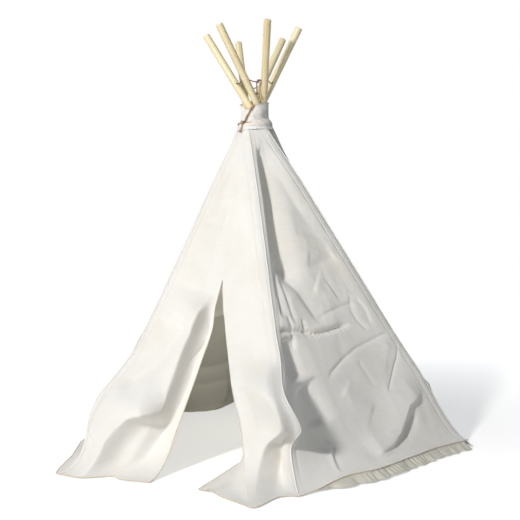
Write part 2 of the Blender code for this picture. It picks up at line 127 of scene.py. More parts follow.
# Points or vectors read off between those of a path, at given lengths along it.
def readAlong(at, run, values):
    return np.stack([np.interp(at, run, values[:, k]) for k in range(3)], -1)


# The same line with points at even steps along it.
def evenPath(points, step):
    points = np.asarray(points, float)
    run = runAlong(points)
    return readAlong(np.linspace(0, run[-1], max(int(run[-1] / step), 4) + 1), run, points)


# Value noise from -1 to 1: random values on a square lattice of the pitch, smoothly blended.
def softNoise(x, y, pitch, seed):
    size = 96
    table = np.random.default_rng(seed).uniform(-1, 1, (size, size))
    x, y = np.asarray(x) / pitch + 31.7, np.asarray(y) / pitch + 17.3
    i, j = np.floor(x).astype(int), np.floor(y).astype(int)
    fx, fy = ease(x - i), ease(y - j)
    at = lambda a, b: table[a % size, b % size]
    low = at(i, j) * (1 - fx) + at(i + 1, j) * fx
    high = at(i, j + 1) * (1 - fx) + at(i + 1, j + 1) * fx
    return low * (1 - fy) + high * fy


# Crisp little ridges: one minus the size of a noise, over three ever finer pitches.
def crumple(x, y, pitch, seed):
    return sum((1 - 2.2 * np.abs(softNoise(x, y, pitch / 1.9 ** k, seed + k))) / 2.1 ** k for k in range(3)) / 1.7


def linked(name, data):
    made = bpy.data.objects.new(name, data)
    bpy.context.scene.collection.objects.link(made)
    return made


# A mesh object from points and faces, with an optional UV per point and a vector kept for grain.
def shapeMesh(name, points, faces, uv=None, local=None):
    mesh = bpy.data.meshes.new(name)
    points = np.asarray(points, float).reshape(-1, 3)
    faces = np.asarray(faces, np.int32)
    mesh.vertices.add(len(points))
    mesh.vertices.foreach_set("co", points.astype(np.float32).ravel())
    mesh.loops.add(faces.size)
    mesh.loops.foreach_set("vertex_index", faces.ravel())
    mesh.polygons.add(len(faces))
    mesh.polygons.foreach_set("loop_start", np.arange(0, faces.size, faces.shape[1], dtype=np.int32))
    mesh.update(calc_edges=True)
    mesh.validate()
    if uv is not None:
        layer = mesh.uv_layers.new(name="UVMap")
        layer.data.foreach_set("uv", np.asarray(uv, np.float32).reshape(-1, 2)[faces.ravel()].ravel())
    if local is not None:
        kept = mesh.attributes.new("grain", "FLOAT_VECTOR", "POINT")
        kept.data.foreach_set("vector", np.asarray(local, np.float32).ravel())
    mesh.shade_smooth()
    return linked(name, mesh)


# Quads of a grid of points in rows; a closed grid joins its last column to its first.
def gridFaces(rows, columns, closed=False, flip=False):
    r, c = np.meshgrid(np.arange(rows - 1), np.arange(columns if closed else columns - 1), indexing="ij")
    n = (c + 1) % columns
    quads = np.stack([r * columns + c, r * columns + n, (r + 1) * columns + n, (r + 1) * columns + c], -1)
    return quads.reshape(-1, 4)[:, ::-1] if flip else quads.reshape(-1, 4)


# A ring of points at each point of a path, square to it: a frame is carried along without twist.
def tubeAlong(path, radius, sides):
    path = np.asarray(path, float)
    way = unit(np.gradient(path, axis=0))
    side = np.zeros_like(path)
    first = np.array([0.0, 0.0, 1.0] if abs(way[0][2]) < 0.9 else [1.0, 0.0, 0.0])
    side[0] = unit(first - way[0] * (first @ way[0]))
    for k in range(1, len(path)):
        side[k] = unit(side[k - 1] - way[k] * (side[k - 1] @ way[k]))
    other = np.cross(way, side)
    turn = turnsOf(sides)[:, None]
    return path[:, None] + radius * (side[:, None] * np.cos(turn) + other[:, None] * np.sin(turn)), side, other


# The rings of a tube with a point at each end, and the faces over them all.
def cappedTube(path, radius, sides):
    rings = tubeAlong(path, radius, sides)[0]
    points = np.concatenate([rings.reshape(-1, 3), rings[:1].mean(1), rings[-1:].mean(1)])
    quads = gridFaces(len(rings), sides, closed=True)
    end = rings.shape[0] * sides
    k = np.arange(sides)
    n = (k + 1) % sides
    head = np.stack([0 * k + end, n, k], -1)
    tail = np.stack([0 * k + end + 1, end - sides + k, end - sides + n], -1)
    return points, np.concatenate([quads[:, :3], quads[:, [0, 2, 3]], head, tail])


# Several shapes as one: their points, their faces counted on, and whatever else each point has.
def joined(shapes):
    starts = np.cumsum([0] + [len(shape[0]) for shape in shapes])
    faces = [np.asarray(shape[1]) + start for shape, start in zip(shapes, starts)]
    rest = [np.concatenate(some) for some in list(zip(*shapes))[2:]]
    return (np.concatenate([shape[0] for shape in shapes]), np.concatenate(faces), *rest)


# Flat coordinates for a thin round piece: its level place and its height, in metres.
def thinUv(points):
    return np.stack([points[:, 0] + points[:, 1], points[:, 2]], -1)


# materials

def newMaterial(name, roughness, sheen=0.0, metallic=0.0):
    made = bpy.data.materials.new(name)
    made.use_nodes = True
    tree = made.node_tree
    shader = tree.nodes["Principled BSDF"]
    for key, value in (("Roughness", roughness), ("Metallic", metallic), ("Sheen Weight", sheen),
                       ("Sheen Roughness", 0.6)):
        shader.inputs[key].default_value = value
    return made, tree, shader


# Adds a node, sets its own settings, then its sockets from values or other nodes' outputs.
def node(tree, kind, values=None, **settings):
    made = tree.nodes.new(kind)
    for key, value in settings.items():
        setattr(made, key, value)
    for key, value in (values or {}).items():
        if isinstance(value, bpy.types.NodeSocket):
            tree.links.new(value, made.inputs[key])
        else:
            made.inputs[key].default_value = value
    return made


# Feeds the shader's sockets, by name.
def feed(tree, shader, **sources):
    for key, source in sources.items():
        tree.links.new(source, shader.inputs[key.replace("_", " ")])


def ramp(tree, factor, *stops):
    made = node(tree, "ShaderNodeValToRGB", {"Fac": factor})
    while len(made.color_ramp.elements) < len(stops):
        made.color_ramp.elements.new(0.5)
    for element, (place, color) in zip(made.color_ramp.elements, stops):
        element.position = place
        element.color = (*color, 1)
    return made.outputs["Color"]


def noise(tree, vector, scale, detail=3.0, rough=0.55, **more):
    return node(tree, "ShaderNodeTexNoise", {"Vector": vector, "Scale": scale, "Detail": detail,
                                             "Roughness": rough}, **more).outputs["Fac"]


def mapped(tree, source, scale):
    return node(tree, "ShaderNodeMapping", {"Vector": source, "Scale": scale}).outputs["Vector"]


# A noise that is drawn out along the axes where its scale is small.
def stretched(tree, source, scale, detail=2.0, rough=0.55):
    return noise(tree, mapped(tree, source, scale), 1.0, detail, rough)


def math(tree, operation, a, b=0.5):
    return node(tree, "ShaderNodeMath", {0: a, 1: b}, operation=operation).outputs[0]


# A sum of outputs, each times its own weight, on a base.
def weighted(tree, *parts, base=None):
    total = base
    for source, weight in parts:
        part = math(tree, "MULTIPLY", source, weight)
        total = part if total is None else math(tree, "ADD", part, total)
    return total


def multiplied(tree, factor, a, b):
    return node(tree, "ShaderNodeMix", {0: factor, 6: a, 7: b}, data_type="RGBA", blend_type="MULTIPLY").outputs[2]


def bump(tree, strength, distance, height, **under):
    return node(tree, "ShaderNodeBump", {"Strength": strength, "Distance": distance, "Height": height,
                                         **under}).outputs["Normal"]


# Plain-woven cotton: crossed threads at their pitch, slubs, soft mottling and crushed creases.
# Some light goes through the thin cloth, as scattering under its surface.
def canvasMaterial(name, light, shade, glow=0.0):
    threadPitch = 0.0011
    made, tree, shader = newMaterial(name, 0.92, sheen=0.12)
    shader.inputs["Subsurface Weight"].default_value = glow
    shader.inputs["Subsurface Radius"].default_value = (1.0, 0.95, 0.8)
    shader.inputs["Subsurface Scale"].default_value = 0.003
    uv = node(tree, "ShaderNodeTexCoord").outputs["UV"]
    slubs = weighted(tree, (stretched(tree, uv, (420, 14, 1)), 0.5), (stretched(tree, uv, (14, 420, 1)), 0.5))
    tone = weighted(tree, (noise(tree, uv, 5.0, 4.0), 0.55), (slubs, 0.33), (noise(tree, uv, 260.0, 2.0), 0.12))
    color = ramp(tree, tone, (0.30, shade), (0.52, light), (0.78, [min(1, c * 1.03) for c in light]))
    creaseLines = noise(tree, uv, 17.0, 5.0, 0.6, noise_type="RIDGED_MULTIFRACTAL")
    # the canvas is a little darker along the same crease lines that its bump raises
    creaseDarkening = ramp(tree, creaseLines, (0.0, (1, 1, 1)), (0.86, (1, 1, 1)), (1.0, (0.95, 0.94, 0.91)))
    warp, weft = [node(tree, "ShaderNodeTexWave", {"Vector": uv, "Scale": pi / 10 / threadPitch, "Distortion": 0.6,
                                                   "Detail": 1.0, "Detail Scale": 0.4},
                       wave_type="BANDS", bands_direction=way).outputs["Fac"] for way in "XY"]
    weave = bump(tree, 0.35, 0.0003, weighted(tree, (warp, 0.5), (weft, 0.5), (slubs, 0.8)))
    creases = weighted(tree, (creaseLines, 0.35), base=noise(tree, uv, 38.0, 3.0))
    feed(tree, shader, Base_Color=multiplied(tree, 1.0, color, creaseDarkening),
         Roughness=math(tree, "ADD", math(tree, "MULTIPLY", slubs, 0.12), 0.85),
         Normal=bump(tree, 0.5, 0.0022, creases, Normal=weave))
    return made


# Sanded pine or poplar: long fibres, yearly lines along the pole, a few darker streaks and knots.
def woodMaterial():
    made, tree, shader = newMaterial("sandedWood", 0.5)
    grain = node(tree, "ShaderNodeAttribute", attribute_name="grain").outputs["Vector"]
    rings = stretched(tree, grain, (75, 75, 2.2), 4.0, 0.6)
    fibres = stretched(tree, grain, (900, 900, 9), 2.0, 0.6)
    tone = weighted(tree, (rings, 0.6), (fibres, 0.10), (stretched(tree, grain, (9, 9, 3)), 0.18))
    color = ramp(tree, tone, (0.26, (0.60, 0.44, 0.23)), (0.40, (0.78, 0.65, 0.40)), (0.50, (0.86, 0.77, 0.52)),
                 (0.70, (0.90, 0.83, 0.62)))
    knots = node(tree, "ShaderNodeTexVoronoi", {"Vector": mapped(tree, grain, (16, 16, 4.5)), "Scale": 1.0})
    dark = ramp(tree, knots.outputs["Distance"], (0.0, (0.42, 0.26, 0.14)), (0.07, (0.72, 0.58, 0.42)),
                (0.14, (1, 1, 1)))
    feed(tree, shader, Base_Color=multiplied(tree, 0.75, color, dark),
         Roughness=math(tree, "ADD", math(tree, "MULTIPLY", fibres, 0.25), 0.42),
         Normal=bump(tree, 0.08, 0.0003, math(tree, "ADD", fibres, rings)))
    return made


# Twisted yarn: fine hairs run along each strand, and the hollows between them carry painted shade.
def cordMaterial(name, light, dark):
    made, tree, shader = newMaterial(name, 0.85, sheen=0.25)
    uv = node(tree, "ShaderNodeTexCoord").outputs["UV"]
    hairs = stretched(tree, uv, (1400, 90, 1), 3.0)
    tone = weighted(tree, (hairs, 0.6), (stretched(tree, uv, (40, 30, 1)), 0.4))
    feed(tree, shader, Base_Color=ramp(tree, tone, (0.3, dark), (0.65, light)), Normal=bump(tree, 0.6, 0.0003, hairs))
    return made


# Drawn tube: fine lines round it, slightly uneven brightness.
def metalMaterial():
    made, tree, shader = newMaterial("drawnMetal", 0.35, metallic=1.0)
    lines = stretched(tree, node(tree, "ShaderNodeTexCoord").outputs["Object"], (30, 30, 900))
    feed(tree, shader, Base_Color=ramp(tree, lines, (0.3, (0.60, 0.60, 0.61)), (0.7, (0.78, 0.78, 0.79))),
         Roughness=math(tree, "ADD", math(tree, "MULTIPLY", lines, 0.25), 0.22),
         Normal=bump(tree, 0.15, 0.0001, lines))
    return made


# Each finish by its lighter and its darker tone
canvas = canvasMaterial("coverCanvas", (0.85, 0.825, 0.785), (0.785, 0.745, 0.68), glow=0.6)
sleeveCanvas = canvasMaterial("sleeveCanvas", (0.80, 0.775, 0.705), (0.70, 0.67, 0.59))
# the skirt's canvas, also used for its edge and the collar's hem, is darker than the cover's: painted shade under the
# raised hem
hemCanvasPaintedShade = canvasMaterial("skirtCanvasPaintedShade", (0.70, 0.675, 0.59), (0.57, 0.54, 0.45))
edgeCanvas = canvasMaterial("hemEdgeCanvas", (0.74, 0.64, 0.53), (0.58, 0.47, 0.37))
# the piping's canvas is whiter than the cover's: a painted highlight along the seam
pipingCanvasPaintedHighlight = canvasMaterial("pipingCanvasPaintedHighlight", (0.87, 0.86, 0.83), (0.78, 0.765, 0.72))
bandCanvas = canvasMaterial("bandCanvas", (0.82, 0.76, 0.71), (0.70, 0.62, 0.55))
threadMaterial = cordMaterial("seamThread", (0.80, 0.77, 0.69), (0.62, 0.58, 0.49))
darkThread = cordMaterial("gatherThread", (0.30, 0.27, 0.22), (0.14, 0.12, 0.09))
darkCord = cordMaterial("darkCord", (0.30, 0.17, 0.13), (0.09, 0.045, 0.035))
tieCord = cordMaterial("tieCord", (0.50, 0.33, 0.19), (0.20, 0.11, 0.05))
wood = woodMaterial()
metal = metalMaterial()


# Gives a piece its finish and the body it moves with, and hides the nodes it stands for.
def dress(piece, material, body, slotName, *replaced):
    piece.data.materials.append(material)
    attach(piece, body)
    if replaced:
        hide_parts(*replaced)
    return piece


# camera, floor and light

cameraSet = dict(azimuth=0.3791379, distance=3.3137, height=0.74471, focalPixels=847.48,
                 pitch=0.018766, roll=-0.034232, frameWidth=520, sensor=36.0)


# The photograph's view: level distance and azimuth round the crossing, then pitch and roll.
def placeCamera():
    az, pitch, roll = cameraSet["azimuth"], cameraSet["pitch"], cameraSet["roll"]
    place = Vector((sin(az) * cameraSet["distance"], -cos(az) * cameraSet["distance"], cameraSet["height"]))
    level, right, up = Vector((-sin(az), cos(az), 0)), Vector((cos(az), sin(az), 0)), Vector((0, 0, 1))
    ahead = level * cos(pitch) - up * sin(pitch)
    above = up * cos(pitch) + level * sin(pitch)
    turnedRight = right * cos(roll) + above * sin(roll)
    turnedUp = above * cos(roll) - right * sin(roll)
    camera = linked("photoCamera", bpy.data.cameras.new("photoCamera"))
    turn = Matrix((turnedRight, turnedUp, -ahead)).transposed().to_4x4()
    camera.matrix_world = Matrix.Translation(place) @ turn
    camera.data.sensor_width = cameraSet["sensor"]
    camera.data.lens = cameraSet["focalPixels"] / cameraSet["frameWidth"] * cameraSet["sensor"]
    bpy.context.scene.camera = camera


stageSet = dict(floorSize=14.0, floorColor=(0.80, 0.80, 0.79), floorGlow=(0.50, 0.88),
                glowReach=(0.9, 2.6), worldStrength=0.22, worldColor=(0.84, 0.92, 1.0, 1),
                keyPower=296.0, keySize=0.5, keyPlace=(-1.228, -5.417, 3.50), keyColor=(1.0, 0.975, 0.93),
                insidePower=1.4, insideSize=0.22, insidePlace=(0.0, 0.1, 0.55), insideColor=(1.0, 0.99, 0.84),
                fillPower=8.0, fillSize=2.6, fillPlace=(3.6, -3.4, 2.2), fillColor=(0.93, 0.96, 1.0),
                aim=(0.0, -0.1, 0.6))


# A lamp of the stage, by the first word of its settings: a square one looks at the aim.
def placeLamp(which, kind):
    lamp = bpy.data.lights.new(which + "Light", kind)
    lamp.energy, lamp.color = stageSet[which + "Power"], stageSet[which + "Color"]
    made = linked(lamp.name, lamp)
    made.location = stageSet[which + "Place"]
    if kind == "AREA":
        lamp.size = stageSet[which + "Size"]
        made.rotation_euler = (made.location - Vector(stageSet["aim"])).to_track_quat("Z", "Y").to_euler()
    else:
        lamp.shadow_soft_size = stageSet[which + "Size"]


# One where the ray is the camera's own, a mirrored one or one through glass.
def seesRay(tree):
    path = node(tree, "ShaderNodeLightPath")
    first = math(tree, "MAXIMUM", path.outputs["Is Camera Ray"], path.outputs["Is Glossy Ray"])
    return math(tree, "MAXIMUM", first, path.outputs["Is Transmission Ray"])


# Shows what rays of the camera's kind see in place of what the others see.
def mixForCamera(tree, others, seen, target):
    mixed = node(tree, "ShaderNodeMixShader", {0: seesRay(tree), 1: others.outputs[0], 2: seen.outputs[0]})
    tree.links.new(mixed.outputs[0], tree.nodes[target].inputs["Surface"])


def makeStage():
    size = stageSet["floorSize"] / 2
    corners = [(-size, -size, 0), (size, -size, 0), (size, size, 0), (-size, size, 0)]
    floor = shapeMesh("studioFloor", corners, [[0, 1, 2, 3]])
    material, tree, shader = newMaterial("paleFloor", 0.95)
    place = node(tree, "ShaderNodeTexCoord").outputs["Object"]
    color = stageSet["floorColor"]
    feed(tree, shader, Base_Color=ramp(tree, noise(tree, place, 3.0, 2.0), (0.3, color),
                                       (0.7, [c * 1.02 for c in color])))
    far = node(tree, "ShaderNodeVectorMath", {0: place}, operation="LENGTH").outputs["Value"]
    (nearGlow, farGlow), (start, end) = stageSet["floorGlow"], stageSet["glowReach"]
    strength = node(tree, "ShaderNodeMapRange", {"Value": far, "From Min": start, "From Max": end,
                                                 "To Min": nearGlow, "To Max": farGlow}).outputs["Result"]
    glow = node(tree, "ShaderNodeEmission", {"Color": (1, 1, 1, 1), "Strength": strength})
    both = node(tree, "ShaderNodeAddShader", {0: shader.outputs[0], 1: glow.outputs[0]})
    mixForCamera(tree, shader, both, "Material Output")
    floor.data.materials.append(material)
    world = bpy.data.worlds.new("paleStudio")
    world.use_nodes = True
    tree = world.node_tree
    base = tree.nodes["Background"]
    base.inputs["Color"].default_value = stageSet["worldColor"]
    base.inputs["Strength"].default_value = stageSet["worldStrength"]
    white = node(tree, "ShaderNodeBackground", {"Color": (1, 1, 1, 1), "Strength": 1.0})
    mixForCamera(tree, base, white, "World Output")
    bpy.context.scene.world = world
    placeLamp("key", "AREA")
    placeLamp("fill", "AREA")
    placeLamp("inside", "POINT")                              # the glow that sunlit canvas gives its inside
    bpy.context.scene.view_settings.view_transform = "Standard"


placeCamera()
makeStage()
print("camera, floor and light are placed")


# poles

poleSet = dict(radius=0.014, sides=40, rows=150, endRound=0.004, wobble=0.00025, meetGap=0.00015)


# Points as seen along a pole: across it, along its hinge axis, and up it.
def poleLocal(index, points):
    off = np.asarray(points) - waists[index]
    return np.stack([off @ acrossWays[index], off @ hinges[index], off @ poleWays[index]], -1)


# A CAD node's points, as seen along its pole.
def nodeLocal(kind, index):
    return poleLocal(index, np.array([v.co for v in frame["nodes"][kind + poleNames[index]].data.vertices]))


# A turned rod: a radius for each length up the pole, rounded over at its ends, carried round.
def poleRod(name, index, low, high, isTop):
    radius, up = poleSet["radius"], poleWays[index]
    topRound = poleSet["endRound"] if isTop else poleSet["endRound"] / 5
    bend = np.linspace(0, pi / 2, 8)[1:]
    length = np.concatenate([[low, low], np.linspace(low, high - topRound, poleSet["rows"]),
                             high - topRound + topRound * np.sin(bend), [high]])[:, None]
    size = np.concatenate([[0, radius], np.full(poleSet["rows"], radius),
                           radius - topRound + topRound * np.cos(bend), [0]])[:, None]
    turn = turnsOf(poleSet["sides"])
    wave = softNoise(length + 0 * turn, np.cos(turn) * 0.02 + 0 * length, 0.05, index)
    size = size * (1 + wave * poleSet["wobble"] / radius)
    local = np.stack([size * np.cos(turn), size * np.sin(turn), length + 0 * turn], -1)
    world = waists[index] + local[..., :1] * acrossWays[index] + local[..., 1:2] * hinges[index] + local[..., 2:] * up
    if not isTop:                                   # the foot is sawn level with the floor
        slide = np.where(local[..., 2] <= low + 1e-6, world[..., 2], np.minimum(world[..., 2], 0)) / up[2]
        world = world - slide[..., None] * up
    uv = np.stack([np.broadcast_to(turn * radius, local.shape[:2]), local[..., 2]], -1)
    seedShift = index * np.array([0.31, 0.17, 1.3])
    return shapeMesh(name, world, gridFaces(len(length), poleSet["sides"], closed=True), uv,
                     local.reshape(-1, 3) + seedShift)


def makePoles():
    for index, name in enumerate(poleNames):
        # the sections meet where the lower one's own square cut is, at the pole's axis
        meet = -(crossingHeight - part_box("pole_lower_" + name)[1].z) / cos(tilt) - poleSet["radius"] * tan(tilt)
        lower = poleRod("lowerPole_" + name, index, -footReach, meet - poleSet["meetGap"], False)
        upper = poleRod("upperPole_" + name, index, meet + poleSet["meetGap"], poleTop[index], True)
        dress(lower, wood, "leg_" + name, "pole_wood", "pole_lower_" + name)
        dress(upper, wood, "leg_" + name, "pole_wood", "pole_upper_" + name)
        tube = frame["nodes"]["pole_joint_" + name]
        tube.data.materials.clear()
        tube.data.materials.append(metal)


# How far each pole's top end stands up the pole from the crossing
poleTop = [float(nodeLocal("pole_upper_", index)[:, 2].max()) for index in range(sideCount)]
makePoles()
print("six poles are turned")


# cover

# A fold is a line of points (share across the side, share of the crossing's height), then its rise in metres
# (a valley is negative), its width on the right hand of the line and on its left hand as the line runs,
# and how crisp it is (0 round, 1 sharp); a sixth value is how much it puckers. Lines run down, or left to right.
foldSet = {
    "front": [
        # the edge of the flap's outer cloth, which goes on round the bulge at the foot
        ([(0.47, 0.455), (0.41, 0.39), (0.375, 0.32), (0.362, 0.24), (0.352, 0.18), (0.335, 0.11)],
         0.046, 0.11, 0.013, 0.3),
        ([(0.37, 0.165), (0.28, 0.152), (0.225, 0.145), (0.175, 0.115), (0.14, 0.080), (0.125, 0.03), (0.12, -0.05)],
         0.070, 0.09, 0.032, 0.3),
        ([(0.50, 0.43), (0.465, 0.34), (0.425, 0.27), (0.415, 0.22), (0.395, 0.18), (0.375, 0.14),
          (0.345, 0.105), (0.31, 0.07), (0.275, 0.02), (0.26, -0.03)], -0.036, 0.024, 0.050, 0.2),
        ([(0.34, 0.39), (0.29, 0.35), (0.23, 0.293), (0.16, 0.245), (0.08, 0.20)], -0.026, 0.045, 0.034, 0.0),
        ([(0.475, 0.33), (0.43, 0.30), (0.38, 0.262)], -0.008, 0.012, 0.010, 0.8),
        ([(-0.03, 0.125), (0.02, 0.105), (0.07, 0.078), (0.09, 0.05), (0.12, 0.03)], -0.012, 0.009, 0.012, 0.7),
        # the bulge beside the right pole and the shaded hollow under it
        ([(0.99, 0.30), (0.975, 0.25), (0.96, 0.20), (0.93, 0.13), (0.885, 0.07), (0.85, 0.01), (0.84, -0.03)],
         0.040, 0.085, 0.020, 0.2),
        ([(1.0, 0.14), (0.975, 0.09), (0.935, 0.05), (0.905, 0.0), (0.89, -0.04)], -0.042, 0.014, 0.040, 0.2),
        ([(0.78, 0.93), (0.44, 0.81), (0.30, 0.754), (0.20, 0.74)], -0.0045, 0.012, 0.016, 0.5),
        ([(0.475, 0.73), (0.452, 0.678), (0.43, 0.63)], -0.006, 0.012, 0.020, 0.4),
        ([(0.30, 0.66), (0.26, 0.55), (0.28, 0.46)], 0.006, 0.060, 0.040, 0.1),
        ([(0.70, 0.62), (0.74, 0.50), (0.72, 0.42)], -0.005, 0.050, 0.060, 0.1),
        ([(0.86, 0.52), (0.94, 0.44), (1.0, 0.42)], -0.005, 0.014, 0.010, 0.6),
        ([(0.92, 0.34), (0.97, 0.315), (1.0, 0.305)], -0.005, 0.009, 0.012, 0.7),
        ([(0.05, 0.40), (0.16, 0.36), (0.26, 0.37)], -0.005, 0.020, 0.030, 0.3),
        ([(0.76, 0.24), (0.82, 0.15), (0.80, 0.06)], -0.008, 0.030, 0.020, 0.2),
    ],
    "right_front": [
        # the deep valley beside the pole, in its own shade
        ([(0.24, 0.90), (0.23, 0.80), (0.22, 0.72), (0.19, 0.64), (0.18, 0.58), (0.21, 0.535), (0.25, 0.49),
          (0.32, 0.45)], -0.046, 0.036, 0.050, 0.1),
        ([(0.20, 0.54), (0.27, 0.48), (0.34, 0.435), (0.39, 0.395), (0.42, 0.36)], -0.012, 0.016, 0.040, 0.2),
        ([(0.06, 0.54), (0.075, 0.48), (0.09, 0.43), (0.11, 0.385)], -0.013, 0.012, 0.022, 0.2),
        ([(0.15, 0.50), (0.17, 0.45), (0.19, 0.40), (0.20, 0.37)], -0.007, 0.007, 0.012, 0.5),
        ([(0.03, 0.345), (0.06, 0.30), (0.09, 0.26), (0.11, 0.23)], -0.034, 0.020, 0.050, 0.1),
        ([(0.14, 0.225), (0.19, 0.18), (0.22, 0.12)], -0.020, 0.040, 0.050, 0.0),
        # the puckered crease across the side
        ([(-0.04, 0.362), (0.10, 0.356), (0.22, 0.349), (0.33, 0.340), (0.42, 0.340), (0.60, 0.351), (0.68, 0.356)],
         -0.015, 0.008, 0.010, 0.3, 0.6),
        ([(-0.02, 0.378), (0.16, 0.370), (0.25, 0.366), (0.34, 0.355), (0.60, 0.368)], 0.004, 0.010, 0.030, 0.2),
        ([(0.27, 0.385), (0.26, 0.352), (0.29, 0.33)], -0.006, 0.006, 0.012, 0.5),
        ([(0.14, 0.40), (0.16, 0.35), (0.15, 0.30)], -0.006, 0.010, 0.008, 0.5),
        ([(0.40, 0.375), (0.50, 0.39), (0.62, 0.401), (0.80, 0.414)], -0.006, 0.016, 0.008, 0.6),
        ([(0.32, 0.218), (0.37, 0.236), (0.495, 0.266), (0.635, 0.291), (0.762, 0.305), (0.98, 0.328)],
         -0.0065, 0.009, 0.009, 0.7),
        ([(0.97, 0.31), (0.955, 0.285), (0.89, 0.251), (0.81, 0.215), (0.70, 0.165)], -0.0055, 0.006, 0.008, 0.8),
        ([(0.90, 0.30), (0.82, 0.26), (0.74, 0.21)], 0.003, 0.030, 0.014, 0.2),
        ([(0.60, 0.26), (0.63, 0.22), (0.64, 0.185)], -0.0025, 0.012, 0.012, 0.4),
        # the long curved fold at the foot of the right side
        ([(0.42, 0.035), (0.52, 0.042), (0.58, 0.050), (0.655, 0.070), (0.73, 0.104), (0.79, 0.134), (0.95, 0.162)],
         0.020, 0.014, 0.060, 0.2),
        ([(0.38, 0.034), (0.48, 0.034), (0.58, 0.040), (0.68, 0.058), (0.76, 0.088), (0.84, 0.120)],
         -0.012, 0.020, 0.010, 0.2),
        ([(0.235, 0.085), (0.228, 0.06), (0.215, 0.02)], 0.008, 0.012, 0.009, 0.6),
        ([(0.255, 0.08), (0.25, 0.05), (0.24, 0.02)], -0.006, 0.008, 0.014, 0.5),
        ([(0.80, 0.44), (0.74, 0.39), (0.745, 0.365), (0.79, 0.33)], -0.0045, 0.010, 0.016, 0.5),
        ([(0.83, 0.43), (0.86, 0.39), (0.84, 0.35)], -0.0035, 0.014, 0.009, 0.5),
        ([(0.40, 0.70), (0.52, 0.62), (0.60, 0.52)], 0.009, 0.060, 0.045, 0.0),
        ([(0.50, 0.55), (0.66, 0.53), (0.86, 0.55)], -0.006, 0.025, 0.040, 0.2),
        ([(0.46, 0.625), (0.66, 0.615), (0.80, 0.605), (0.95, 0.60)], -0.004, 0.014, 0.022, 0.3),
        ([(0.48, 0.47), (0.58, 0.44), (0.66, 0.45)], 0.007, 0.030, 0.045, 0.1),
        ([(0.60, 0.80), (0.66, 0.72), (0.70, 0.66)], -0.003, 0.020, 0.014, 0.3),
        ([(0.42, 0.20), (0.50, 0.15), (0.56, 0.12)], 0.005, 0.045, 0.035, 0.0),
    ],
    "right_back": [
        ([(0.13, 0.20), (0.12, 0.10), (0.12, -0.05)], 0.014, 0.050, 0.060, 0.0),
        ([(0.20, 0.62), (0.32, 0.40), (0.42, 0.20)], -0.016, 0.060, 0.040, 0.1),
        ([(0.85, 0.40), (0.72, 0.24), (0.60, 0.10)], -0.018, 0.050, 0.030, 0.2),
        ([(0.16, 0.352), (0.40, 0.340), (0.72, 0.335)], -0.009, 0.008, 0.010, 0.6, 0.7),
        ([(0.70, 0.52), (0.84, 0.46), (0.97, 0.42)], -0.006, 0.012, 0.020, 0.6),
        ([(0.10, 0.20), (0.22, 0.13), (0.30, 0.04)], 0.018, 0.050, 0.020, 0.2),
        ([(0.45, 0.75), (0.52, 0.66), (0.50, 0.58)], 0.006, 0.050, 0.050, 0.0),
    ],
    "back": [
        ([(0.30, 0.18), (0.22, 0.10), (0.16, -0.02)], -0.026, 0.040, 0.020, 0.2),
        ([(0.20, 0.68), (0.28, 0.48), (0.35, 0.28)], -0.014, 0.060, 0.045, 0.0),
        ([(0.80, 0.52), (0.72, 0.32), (0.62, 0.12)], -0.018, 0.060, 0.035, 0.1),
        ([(0.12, 0.36), (0.38, 0.347), (0.64, 0.34)], -0.009, 0.008, 0.010, 0.6, 0.7),
        ([(0.58, 0.20), (0.74, 0.23), (0.92, 0.26)], -0.010, 0.014, 0.025, 0.5),
        ([(0.975, 0.27), (0.95, 0.19), (0.89, 0.08), (0.84, -0.03)], 0.030, 0.085, 0.020, 0.3),
    ],
    "left_back": [
        ([(0.15, 0.36), (0.40, 0.345), (0.64, 0.33)], -0.012, 0.020, 0.016, 0.4),
        ([(0.80, 0.68), (0.74, 0.45), (0.70, 0.24)], -0.014, 0.050, 0.060, 0.1),
        ([(0.15, 0.045), (0.45, 0.035), (0.75, 0.045)], -0.055, 0.080, 0.100, 0.0),
        ([(0.12, 0.17), (0.35, 0.155), (0.62, 0.165)], 0.012, 0.020, 0.030, 0.3),
        ([(0.12, 0.11), (0.35, 0.095), (0.60, 0.105)], 0.010, 0.016, 0.020, 0.3),
        ([(0.10, 0.50), (0.30, 0.47), (0.52, 0.45)], 0.006, 0.014, 0.030, 0.4),
    ],
    "left_front": [
        ([(0.60, 0.40), (0.72, 0.30), (0.80, 0.20), (0.84, 0.13)], 0.012, 0.110, 0.110, 0.0),
        ([(0.50, 0.14), (0.72, 0.11), (0.97, 0.105)], -0.014, 0.018, 0.014, 0.5),
        ([(0.25, 0.57), (0.38, 0.40), (0.50, 0.25)], -0.014, 0.060, 0.050, 0.1),
        ([(0.20, 0.36), (0.45, 0.352), (0.70, 0.34)], -0.007, 0.008, 0.010, 0.6, 0.6),
        ([(0.55, 0.28), (0.75, 0.24), (0.96, 0.27)], -0.008, 0.014, 0.024, 0.5),
        ([(0.14, 0.22), (0.22, 0.12), (0.30, 0.03)], 0.016, 0.045, 0.020, 0.2),
    ],
}
# How far the hem spreads over the floor at each pole, in multiples of the reach there
cornerShares = [1.15, 1.0, 0.0, 1.0, 1.0, 0.0]
# Hem tips: where across the side, how wide, and how far in shares of the tip reach; a negative one is drawn in
tipSet = {
    "front": [(cs["rightHinge"], 0.07, 1.0), (cs["leftHinge"], 0.045, -0.22), (0.12, 0.06, 0.12)],
    "right_front": [(0.42, 0.21, 0.3), (0.66, 0.10, 0.05)], "right_back": [(0.5, 0.2, 0.15), (0.25, 0.05, -0.12)],
    "back": [(cs["rightHinge"], 0.07, 1.0), (0.3, 0.06, -0.15)],
    "left_back": [(0.33, 0.27, -1.35)], "left_front": [(0.72, 0.16, -0.10), (0.35, 0.06, -0.12)],
}
